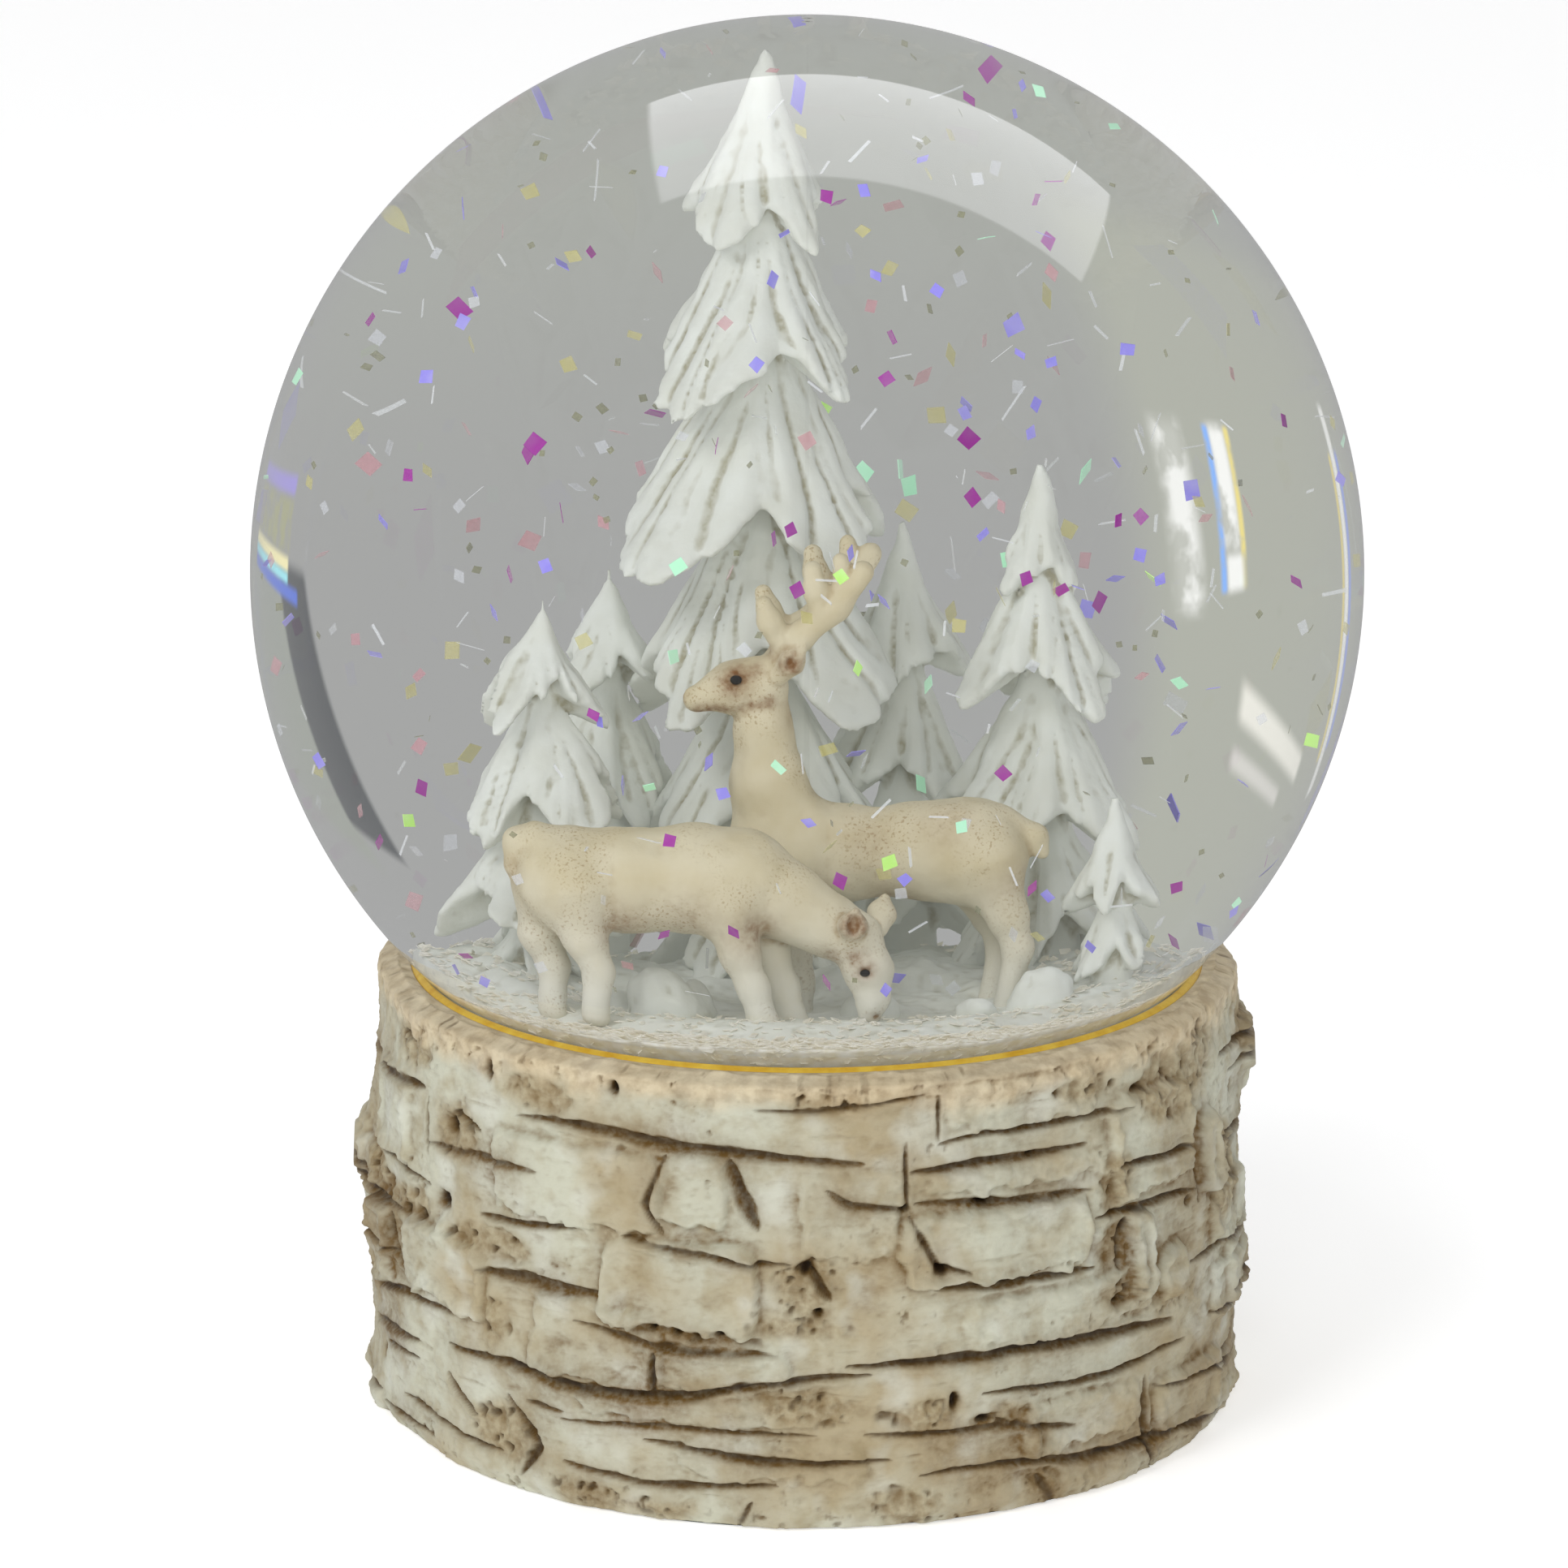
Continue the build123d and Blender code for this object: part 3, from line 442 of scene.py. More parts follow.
def bark_resin():
    paint = Paint("birch_resin", Roughness=0.6, Specular_IOR_Level=0.4)
    wash_and_shade, dark, torn, lip = (paint.attribute(name) for name in ("wash_and_shade", "dark", "torn", "lip"))
    plate = paint.mix(paint.band(paint.mottle(13), 0.42, 0.62), rgb(191, 191, 172), rgb(171, 158, 128))
    plate = paint.mix(paint.band(paint.mottle(2.6, 3.0), 0.48, 0.75, 0.0, 0.6), plate, rgb(152, 136, 100))
    plate = paint.mix(paint.band(paint.mottle(5.0, 2.0), 0.52, 0.7, 0.0, 0.6), plate, rgb(206, 208, 196))
    bare = paint.mix(paint.band(paint.mottle(0.9, 4.0), 0.35, 0.65), rgb(172, 160, 130), rgb(134, 114, 78))
    colour = paint.mix(paint.band(torn, 0.1, 0.9, 0.0, 0.8), plate, bare)
    cream = paint.mix(paint.band(paint.mottle(1.4, 4.0), 0.4, 0.65), rgb(212, 195, 162), rgb(178, 158, 126))
    colour = paint.mix(paint.band(lip, 0.0, 1.0, 0.0, 0.75), colour, cream)
    speckle = paint.band(paint.mottle(0.6, 3.0), 0.3, 0.6, 0.65, 1.0)
    # Brown over the recesses and round the marks: partly painted shade in the recesses, partly the bark's own brown.
    colour = paint.mix(paint.math("MULTIPLY", wash_and_shade, speckle), colour, rgb(106, 80, 38))
    # Near-black: the marks' own black, plus painted shade in the deepest recesses.
    colour = paint.mix(dark, colour, rgb(40, 26, 10))
    paint.set("Base Color", colour)
    paint.set("Roughness", paint.band(paint.mottle(2.0), 0.3, 0.7, 0.42, 0.75))
    paint.relief(paint.mottle(0.35, 4.0), 0.08, 0.5)
    return paint.material


def metal(name, colour, rough, brushed=(1, 1, 1), grain_mm=0.4):
    """Metal with faint machining marks."""
    paint = Paint(name, Metallic=1.0, Roughness=rough)
    marks = paint.mottle(grain_mm, 3.0, brushed)
    darker = tuple(0.8 * c for c in colour[:3]) + (1.0,)
    paint.set("Base Color", paint.mix(paint.band(marks, 0.35, 0.7), colour, darker))
    paint.set("Roughness", paint.band(marks, 0.3, 0.7, max(rough - 0.08, 0.02), rough + 0.1))
    paint.relief(marks, 0.01, 0.25)
    return paint.material


def moulded(name, colour, rough, grain_mm=0.3, depth=0.03):
    """Moulded plastic or rubber with a fine grain."""
    paint = Paint(name, Roughness=rough)
    grain = paint.mottle(grain_mm, 3.0)
    lighter = tuple(min(1.25 * c + 0.003, 1) for c in colour[:3]) + (1.0,)
    paint.set("Base Color", paint.mix(paint.band(grain, 0.3, 0.75), colour, lighter))
    paint.set("Roughness", paint.band(paint.mottle(2.5), 0.3, 0.7, rough - 0.08, rough + 0.08))
    paint.relief(grain, depth, 0.5)
    return paint.material


def felt():
    paint = Paint("felt", Roughness=0.95, Sheen_Weight=0.5)
    fibres = paint.mottle(0.35, 6.0, (1, 1, 3), 0.7)
    paint.set("Base Color", paint.mix(fibres, rgb(18, 34, 24), rgb(48, 70, 54)))
    paint.relief(fibres, 0.25, 0.9)
    return paint.material


def flake(name, colour, opening):
    """Glitter film. opening is the share of light that passes straight through."""
    paint = Paint(name, Roughness=0.25, Coat_Weight=1.0, Coat_Roughness=0.08, Alpha=1 - opening)
    tint = paint.mottle(2.5, 2.0)
    paler = tuple(0.55 * c + 0.45 * max(colour[:3]) for c in colour[:3]) + (1.0,)
    paint.set("Base Color", paint.mix(paint.band(tint, 0.45, 0.75, 0.0, 0.6), colour, paler))
    return paint.material


glass_air = clear("clear_glass", (0.985, 0.99, 0.99, 1), 1.5)
glass_water = clear("glass_to_water", (0.985, 0.985, 0.99, 1), 1.5 / 1.33)
snow = cast_resin("snow_resin", rgb(211, 214, 207), rgb(202, 204, 194), rgb(140, 134, 104), 0.9)
ivory = cast_resin(
    "ivory_resin", rgb(207, 198, 170), rgb(196, 184, 150), rgb(146, 118, 74), 0.7,
    stain=rgb(118, 76, 32), pale=rgb(212, 211, 199),
)
bark = bark_resin()


# ---- the ball -------------------------------------------------------------------------------
def arc(radius, first, last, count):
    """Points of a circle about the ball's centre, angles in degrees from straight up."""
    turn = np.radians(np.linspace(first, last, count))
    return [(radius * math.sin(a), ball_z + radius * math.cos(a)) for a in turn]


def glass_ball():
    """Blown ball with its neck. The face against the water bends light less than the one in air."""
    outer_end = 180 - math.degrees(math.asin(neck_r / ball_r))
    inner_end = 180 - math.degrees(math.asin(plug_r / water_r))
    neck_top, neck_top_inside, around = 34.0, 32.0, 384
    outside = arc(ball_r, 0.02, outer_end, 220) + [(neck_r, z) for z in np.linspace(neck_top, neck_low, 8)]
    inside = [(plug_r, neck_low), (plug_r, neck_top_inside)] + arc(water_r, inner_end, 0.02, 220)
    ball = lathe("glass_globe_clear", outside[::-1] + inside[::-1], glass_air, around)
    ball.data.materials.append(glass_water)
    rows = len(outside) + len(inside)
    wet = np.zeros((rows, around), np.int32)
    wet[len(outside) : rows - 1] = 1
    ball.data.polygons.foreach_set("material_index", wet.ravel())
    return settle(ball, "glass_globe")


def water():
    """The liquid, just inside the glass. It only tints: the glass's inner face does the bending."""
    paint = Paint("clear_liquid")
    see = paint.node("ShaderNodeBsdfTransparent", [("Color", (0.985, 0.985, 0.985, 1))])
    paint.surface(see.outputs[0])
    skin_r = water_r - 0.15
    floor_r = plug_r - 0.2
    end = 180 - math.degrees(math.asin(floor_r / skin_r))
    wall_points = arc(skin_r, 0.02, end, 120)
    outline = wall_points + [(floor_r * k, wall_points[-1][1]) for k in (0.5, 0.01)]
    body = lathe("liquid_fill_clear", outline[::-1], paint.material, 192)
    return settle(body, "liquid_fill")


# ---- trees ----------------------------------------------------------------------------------
def fir(node, x, y, tip, tiers, seed):
    """A carved fir: tiers of draped snow with lobes, grooves and an arched lip.

    tiers: (lip height, reach, height of the skirt, turn of the first lobe in degrees, lobes).
    """
    step = 0.28
    trunk_r = 2.2
    reach = 1.15 * max(t[1] for t in tiers) + 1.2
    clay = Clay((x - reach, y - reach, scene_low), (x + reach, y + reach, tip + 1.0), step)
    rng = random.Random(seed)

    def wave():
        return rng.uniform(0, TAU)

    for lip, wide, tall, turn, lobes in tiers:
        cut, gx, gy, gz = clay.window((x - reach, y - reach, lip - 4.5), (x + reach, y + reach, lip + tall + 1.0))
        dx, dy = gx - x, gy - y
        r = np.sqrt(dx * dx + dy * dy)
        angle = np.arctan2(dy, dx)
        swing = lobes * (angle - math.radians(turn)) / 2
        swing = swing + 0.22 * np.sin(angle * 2 + wave()) + 0.15 * np.sin(angle * 3 + wave())
        lobe = np.abs(np.cos(swing)) ** 1.3
        droop = min(wide / 9, 1.15)
        size = 1 + 0.10 * np.sin(angle + wave()) + 0.07 * np.sin(2 * angle + wave())
        foot = lip - 1.9 * droop * lobe**3 + 2.3 * droop * (1 - lobe) ** 1.2
        foot = foot + 0.6 * droop * np.sin(angle + wave()) + 0.35 * np.sin(7 * angle + wave())
        down = np.clip((lip + tall - gz) / (lip + tall - foot), 0, 1.3)
        flare = 0.16 * down + 0.84 * down**1.45
        edge = wide * size * (1 - 0.34 * (1 - lobe) * smooth_step(0.1, 0.9, down))
        side = edge * flare + 0.25
        crest = noise(3.2 * np.cos(angle), 3.2 * np.sin(angle), gz * 0.06, 1.0, seed + int(lip))
        warp = 2.6 * noise(1.6 * np.cos(angle), 1.6 * np.sin(angle), gz * 0.13, 1.0, seed + 3 + int(lip))
        ribs = 9 + lobes
        lines = 0.5 + 0.5 * np.cos(ribs * angle + 2.2 * warp)
        fine = 0.5 + 0.5 * np.cos(2.7 * ribs * angle + 3.1 * warp + 5 * crest)
        shown = smooth_step(0.15, 0.45, down) * np.minimum(side * 0.16, 1)
        carving = shown * (0.42 * lines**3 + 0.26 * fine**2 * smooth_step(-0.3, 0.4, crest) - 0.25 * crest)
        skirt = (r - side + carving) * 0.78
        hem = foot + 0.62 * np.clip(edge - r, 0, 9) ** 0.85
        clay.field[cut] = smooth_min(clay.field[cut], smooth_max(skirt, (hem - gz) * 0.85, 1.3), 0.45)
    top = tiers[0][0] + tiers[0][2]
    clay.cone((x, y, scene_low, trunk_r), (x, y, tiers[0][0] + 0.3 * tiers[0][2], 0.8), 0.8)
    clay.cone((x, y, top - 0.3 * tiers[0][2], 0.95), (x + 0.15, y, tip - 0.3, 0.3), 0.9)
    cut, gx, gy, gz = clay.everywhere()
    clay.field += 0.12 * layered_noise(gx, gy, gz, 2.4, seed, 3) + 0.04 * noise(gx, gy, gz, 0.6, seed + 9)
    tree = clay.skin(node + "_carved", snow)
    point_value(tree, "hollow", crease(tree))
    return settle(tree, node)


def forest():
    fir("tall_fir", -3.0, 8.8, 111.4,
        ((97.6, 6.3, 13.2, -135, 4), (87.9, 8.7, 15, -132, 4), (76.4, 11.0, 17, -138, 4),
         (65.8, 11.4, 17, -128, 4), (55.5, 10.4, 16, -140, 5), (48.0, 9.6, 12, -120, 5)), 11)
    fir("left_fir", -18.0, 0.0, 73.0,
        ((65.6, 6.6, 7.4, -125, 3), (58.8, 7.4, 10, -150, 4), (51.6, 7.4, 11, -110, 4), (47, 6.4, 7, -90, 4)), 23)
    fir("right_fir", 15.4, 7.2, 81.0,
        ((73.4, 3.9, 7.4, -130, 3), (66.2, 7.0, 11, -140, 4), (56.9, 8.6, 13, -120, 4), (49, 8.0, 11, -100, 5)), 37)
    fir("middle_fir", 6.1, 14.4, 75.4,
        ((66.4, 5.2, 8.8, -100, 3), (58.6, 6.8, 11, -140, 4), (50.5, 7.4, 11, -110, 4)), 41)
    fir("back_fir", -12.7, 13.2, 72.2,
        ((65.6, 5.4, 6.8, -120, 3), (57.9, 6.8, 10, -140, 4), (50.0, 7.2, 10, -110, 4)), 53)
    fir("small_fir", 21.2, -4.4, 60.2, ((53.2, 4.5, 7.0, -100, 4), (48.4, 4.6, 6, -130, 4)), 61)


# ---- deer -----------------------------------------------------------------------------------
def stag():
    clay = Clay((-10.5, -11, 45), (18.5, 0.6, 81), 0.2)
    clay.limb([(-1.9, -5, 58.2, 3.3), (2.5, -5, 57.6, 3.1), (7.5, -5, 57.8, 3.1), (11.8, -5, 57.6, 3.5)], 1.2)
    clay.limb([(-1.6, -5, 58.6, 3.0), (-2.6, -5, 62.4, 2.35), (-3.0, -5.05, 66.2, 1.75),
               (-3.0, -5.1, 69.0, 1.6)], 1.5)
    clay.limb([(-3.3, -5.2, 69.6, 1.75), (-5.2, -5.25, 69.2, 1.6), (-7.6, -5.4, 68.4, 0.95)], 0.9)
    for side, lean in ((-1, 1.0), (1, -0.4)):
        y = -5 + 1.7 * side
        clay.limb([(-1.6 + lean, y, 57.5, 2.2), (-1.7 + lean, y + 0.3 * side, 52.4, 1.0),
                   (-1.4 + lean, y + 0.3 * side, 48.6, 0.85), (-1.5 + lean, y + 0.3 * side, 46.0, 1.0)], 0.9)
        clay.limb([(11.4 + lean, y, 57.0, 2.7), (12.9 + lean, y + 0.2 * side, 53.4, 1.35),
                   (13.7 + lean, y + 0.2 * side, 51.0, 0.95), (12.8 + lean, y + 0.2 * side, 46.0, 1.0)], 0.9)
    for side, back in ((-1, 0.0), (1, 0.4)):
        out = -5 + side
        clay.limb([(-2.1, -5 + 0.9 * side, 71.0, 0.85), (-0.6, out + 0.5 * side, 72.9, 0.9),
                   (2.0 + back, out + 1.3 * side, 75.4, 1.0), (3.9 + back, out + 1.8 * side, 77.9, 0.85)], 0.7)
        clay.limb([(-1.5, -5 + 1.2 * side, 72.3, 0.85), (-2.6, out + 0.7 * side, 74.2, 0.8),
                   (-3.0, out + 0.8 * side, 75.4, 0.6)], 0.5)
        clay.limb([(1.2 + back, out + 1.1 * side, 74.7, 0.9), (0.6, out + 1.6 * side, 76.6, 0.8),
                   (0.4, out + 1.7 * side, 78.0, 0.65)], 0.5)
        clay.limb([(2.7 + back, out + 1.5 * side, 76.6, 0.8), (2.4 + back, out + 1.9 * side, 78.7, 0.6)], 0.4)
        ear = -5 + 1.5 * side
        clay.limb([(-1.9, ear, 70.3, 0.65), (-1.0, ear + 0.7 * side, 71.4, 0.85),
                   (-0.3, ear + 1.1 * side, 72.4, 0.3)], 0.3)
        clay.ball((-1.2, ear + 1.5 * side, 71.4), (0.42, 0.55, 0.75), 0.2, carve=True)
        clay.ball((-4.9, -5.2 + 1.72 * side, 70.0), (0.75, 0.35, 0.5), 0.3, carve=True)
        clay.ball((-8.3, -5.4 + 0.55 * side, 68.9), (0.3, 0.25, 0.25), 0.2, carve=True)
    clay.limb([(13.6, -5, 59.4, 1.3), (15.6, -5, 58.6, 0.9), (16.2, -5, 57.6, 0.5)], 0.6)
    for side in (-1, 1):
        clay.ball((10.6, -5 + 1.3 * side, 57.6), (3.0, 2.2, 3.2), 1.4)
        clay.ball((-0.6, -5 + 1.3 * side, 57.8), (2.4, 2.1, 3.0), 1.4)
    _, gx, gy, gz = clay.everywhere()
    clay.field += 0.07 * layered_noise(gx, gy, gz, 1.7, 71, 3)
    return settle(clay.skin("stag_carved", ivory), "stag")


def doe():
    clay = Clay((-24, -21.5, 44.6), (9, -10.5, 63.5), 0.2)
    clay.limb([(-17.6, -15.6, 57.0, 3.5), (-13, -15.8, 56.8, 3.75), (-8, -16, 57.1, 3.9),
               (-4.8, -16, 57.1, 3.6)], 1.2)
    clay.limb([(-4.4, -16, 57.2, 3.2), (-1.2, -16.2, 55.3, 2.6), (1.6, -16.5, 53.6, 2.1),
               (3.2, -16.7, 52.8, 1.9)], 1.4)
    clay.limb([(3.6, -16.8, 52.6, 1.95), (4.5, -16.9, 50.2, 1.7), (4.9, -17.0, 47.9, 1.15),
               (4.7, -17.0, 46.6, 0.85)], 0.8)
    for side, lean in ((-1, 0.0), (1, -3.0)):
        y = -15.8 + 1.8 * side
        clay.limb([(-17.0 + 0.5 * lean, y, 56.0, 3.0), (-16.4 + lean, y + 0.2 * side, 52.2, 1.55),
                   (-15.5 + lean, y + 0.2 * side, 49.8, 1.1), (-16.0 + lean, y + 0.2 * side, 45.6, 1.15)], 1.0)
    for side, lean in ((-1, 0.0), (1, 2.2)):
        y = -16.0 + 1.8 * side
        clay.limb([(-5.6 + 0.3 * lean, y, 55.2, 2.4), (-4.9 + lean, y + 0.1 * side, 51.6, 1.35),
                   (-3.9 + lean, y + 0.1 * side, 48.8, 1.05), (-3.1 + lean, y + 0.1 * side, 45.6, 1.25)], 1.0)
    for side, x, z in ((-1, 3.4, 53.8), (1, 5.4, 54.2)):
        y = -16.7 + 1.7 * side
        clay.limb([(x - 0.3, y, z - 0.9, 0.8), (x, y + 0.7 * side, z + 0.2, 1.05),
                   (x + 0.2, y + 1.0 * side, z + 1.2, 0.45)], 0.3)
        clay.ball((x + 0.1, y + 1.55 * side, z + 0.1), (0.6, 0.6, 1.0), 0.2, carve=True)
        clay.ball((4.3, -16.9 + 1.78 * side, 50.1), (0.42, 0.3, 0.38), 0.25, carve=True)
        clay.ball((5.2, -17.0 + 0.5 * side, 46.4), (0.25, 0.22, 0.2), 0.2, carve=True)
    clay.limb([(-19.8, -15.6, 59.6, 1.5), (-21.0, -15.5, 59.4, 1.1), (-21.5, -15.4, 57.6, 0.75)], 0.7)
    for side in (-1, 1):
        clay.ball((-17.6, -15.6 + 1.2 * side, 56.6), (3.4, 2.5, 3.6), 1.4)
        clay.ball((-6.0, -16 + 1.3 * side, 56.4), (2.6, 2.4, 3.2), 1.4)
    _, gx, gy, gz = clay.everywhere()
    clay.field += 0.07 * layered_noise(gx, gy, gz, 1.7, 83, 3)
    return settle(clay.skin("doe_carved", ivory), "doe")


def stain(animal, spots):
    """Hand-brushed brown on a carving. spots: (x, y, z, reach, strength)."""
    co = vertex_vectors(animal.data, "co") / MM
    total = 0.0 * co[:, 0]
    for x, y, z, reach, strength in spots:
        away = ((co - (x, y, z)) ** 2).sum(1)
        total = np.maximum(total, strength * np.exp(-away / reach**2))
    grain = 0.95 + 0.35 * noise(co[:, 0], co[:, 1], co[:, 2], 0.5, 97)
    point_value(animal, "stain", np.clip(1.35 * total * grain, 0, 1))


def eyes(name, spots, radius):
    """Glossy painted eyes that go with the animal."""
    ink = moulded(name + "_ink", rgb(14, 9, 6), 0.18, 0.2, 0.005)
    for n, spot in enumerate(spots):
        clay = Clay([c - 1 for c in spot], [c + 1 for c in spot], 0.08)
        clay.ball(spot, (radius, radius * 0.7, radius * 0.8), 0.05)
        belong(clay.skin(f"{name}_{n}", ink))


# ---- ground, stones and what has settled ----------------------------------------------------
def ground_top(x, y):
    """Height of the packed snow: low in front of the deer, banked up round the firs."""
    r = np.sqrt(x * x + y * y)
    bank = smooth_step(-13, 5, y)
    top = 46.0 + 3.0 * bank - (2.3 - 1.2 * bank) * smooth_step(20.5, ground_r, r)
    top = top + (0.3 + 0.55 * bank) * layered_noise(x, y, 0 * x, 5.5, 101, 3)
    top = top + (0.16 + 0.14 * bank) * layered_noise(x, y, 0 * x, 1.2, 107, 2)
    return top + 1.5 * smooth_step(11, 23, np.abs(x)) * smooth_step(-19, -7, y)


def ground():
    """Packed snow: a lumpy mound with a crisp rim."""
    rings, around = 150, 420
    turn = np.linspace(0, TAU, around, endpoint=False)
    r = np.linspace(0.02, 1, rings)[:, None] * (ground_r - 0.25)
    x, y = r * np.cos(turn), r * np.sin(turn)
    top = ground_top(x, y)
    rows = [*np.stack([x, y, top], axis=-1)]
    rim_r = ground_r - 0.2
    floor = stopper_top + 0.05
    for share in (0.66, 0.33, 0.0):
        rows.append(turned(rim_r, turn, floor + share * (top[-1] - floor - 0.25)))
    rows.append(turned(0.5 * rim_r, turn, floor))
    points = np.stack(rows)
    faces = ring_faces(points.shape[0], around, False)[:, ::-1]
    mound = mesh_piece("snow_ground_packed", points.reshape(-1, 3), faces, snow)
    point_value(mound, "hollow", crease(mound))
    return settle(mound, "snow_ground")


def stones():
    clay = Clay((-16, -17, 44.4), (22, -4, 51.6), 0.25)
    for x, y, r, tall in (
        (-10.6, -12.4, 2.7, 3.3), (-8.2, -10.4, 2.2, 2.6), (4.6, -9.6, 2.2, 2.1),
        (16.8, -9.2, 2.6, 3.2), (12.2, -11.4, 1.6, 1.4), (-13.4, -9.6, 1.7, 1.9),
    ):
        clay.ball((x, y, 46.2), (r, r * 0.85, tall), 0.8)
    _, gx, gy, gz = clay.everywhere()
    clay.field += 0.4 * layered_noise(gx, gy, gz, 2.4, 131, 3)
    rocks = clay.skin("boulders_rough", snow)
    point_value(rocks, "hollow", crease(rocks))
    return settle(rocks, "boulders")


def slips(spots, normals, sizes, rng, thick):
    """Small flat chips: points and quads of a thin box at each spot, turned at random about its normal."""
    points, faces = [], []
    box = np.array([(x, y, z) for z in (-1, 1) for x, y in ((-1, -1), (1, -1), (1, 1), (-1, 1))])
    quads = np.array([(0, 3, 2, 1), (4, 5, 6, 7), (0, 1, 5, 4), (1, 2, 6, 5), (2, 3, 7, 6), (3, 0, 4, 7)])
    for n, (spot, normal, (length, width)) in enumerate(zip(spots, normals, sizes)):
        w = Vector(normal).normalized()
        u = w.orthogonal().normalized()
        turn = rng.uniform(0, TAU)
        v = w.cross(u)
        u, v = u * math.cos(turn) + v * math.sin(turn), v * math.cos(turn) - u * math.sin(turn)
        half = np.array((length / 2, width / 2, thick / 2))
        skew = np.array([(rng.uniform(0.75, 1), rng.uniform(0.75, 1), 1) for _ in range(4)] * 2)
        local = box * half * skew
        points.append(local @ np.array((u, v, w)) + np.array(spot))
        faces.append(quads + 8 * n)
    return np.concatenate(points), np.concatenate(faces)


def random_normal(rng):
    z, turn = rng.uniform(-1, 1), rng.uniform(0, TAU)
    flat = math.sqrt(1 - z * z)
    return (flat * math.cos(turn), flat * math.sin(turn), z)


def upright_normal(rng):
    """A direction within about 35 degrees of level, for flakes that show their faces to the sides."""
    x, y, z = random_normal(rng)
    return (x, y, 0.6 * z)


def drift():
    """Loose flakes in the trough between the scene and the glass: a lumpy bed with chips on it."""
    around, rows = 420, 26
    turn = np.linspace(0, TAU, around, endpoint=False)
    skin_r = water_r - 0.35
    low = 39.6
    inner = ground_r + 0.1
    top_in, top_out = 44.3, 43.1
    share = np.linspace(0, 1, rows)[:, None]
    wavy = 0.5 * noise(20 * np.cos(turn), 20 * np.sin(turn), 0 * turn, 6, 151)
    outer_top = top_out + wavy
    outer_r = np.sqrt(skin_r**2 - (outer_top - ball_z) ** 2)
    r = inner + (outer_r - inner) * share
    z = top_in + (outer_top - top_in) * share
    x, y = r * np.cos(turn), r * np.sin(turn)
    z = z + 0.35 * layered_noise(x, y, 0 * x, 1.6, 157, 2) * (1 - share**6)
    bed_top = np.stack([x, y, z], axis=-1)
    down = np.linspace(0, 1, 10)[1:, None]
    side_z = outer_top + (low - outer_top) * down
    side = turned(np.sqrt(skin_r**2 - (side_z - ball_z) ** 2), turn, side_z)
    points = np.concatenate([bed_top, side, turned(inner, turn, low)[None]])
    bed_faces = ring_faces(points.shape[0], around)[:, ::-1]
    rng = random.Random(163)
    spots, normals, sizes = [], [], []
    for _ in range(3800):
        j, i = rng.randrange(around), rng.randrange(rows + 6)
        spot = np.array(points[i, j]) + [rng.uniform(-0.2, 0.2), rng.uniform(-0.2, 0.2), rng.uniform(-0.1, 0.25)]
        reach = math.sqrt(skin_r**2 - (spot[2] - ball_z) ** 2) - 0.25
        flat = math.hypot(spot[0], spot[1])
        if flat > reach:
            spot[:2] *= reach / flat
        tilt = random_normal(rng)
        lean = 1.6 if i < rows else 0.6
        normals.append((tilt[0], tilt[1], abs(tilt[2]) + lean))
        spots.append(spot)
        sizes.append((rng.uniform(0.6, 1.4), rng.uniform(0.45, 1.1)))
    for _ in range(1500):
        turn_at, r_at = rng.uniform(0, TAU), ground_r - 0.3 - 12 * rng.random() ** 2
        x_at, y_at = r_at * math.cos(turn_at), r_at * math.sin(turn_at)
        spots.append((x_at, y_at, float(ground_top(np.array(x_at), np.array(y_at))) + rng.uniform(-0.02, 0.15)))
        tilt = random_normal(rng)
        normals.append((tilt[0], tilt[1], abs(tilt[2]) + 1.2))
        sizes.append((rng.uniform(0.45, 1.0), rng.uniform(0.3, 0.8)))
    chip_points, chip_faces = slips(spots, normals, sizes, rng, 0.07)
    # The chips and their bed glow faintly warm white: painted light that brightens them where they lie in shade
    # against the glass.
    chips = Paint("snow_chips", Roughness=0.45, Specular_IOR_Level=0.5, Coat_Weight=0.3,
                  Subsurface_Weight=0.5, Subsurface_Radius=(0.004, 0.004, 0.0034), Subsurface_Scale=1.0,
                  Emission_Color=(1, 0.93, 0.76, 1), Emission_Strength=0.10)
    tint = chips.mix(chips.band(chips.mottle(1.1, 2.0), 0.35, 0.65), rgb(224, 224, 216), rgb(204, 198, 176))
    chips.set("Base Color", tint)
    chips.relief(chips.mottle(0.5), 0.05, 0.4)
    count = points.shape[0] * around
    faces = np.concatenate([bed_faces, chip_faces + count])
    points = np.concatenate([points.reshape(-1, 3), chip_points])
    bed = mesh_piece("settled_snow_chips", points, faces, chips.material)
    bed.data.polygons.foreach_set("use_smooth", np.arange(len(faces)) < len(bed_faces))
    return settle(bed, "settled_snow")


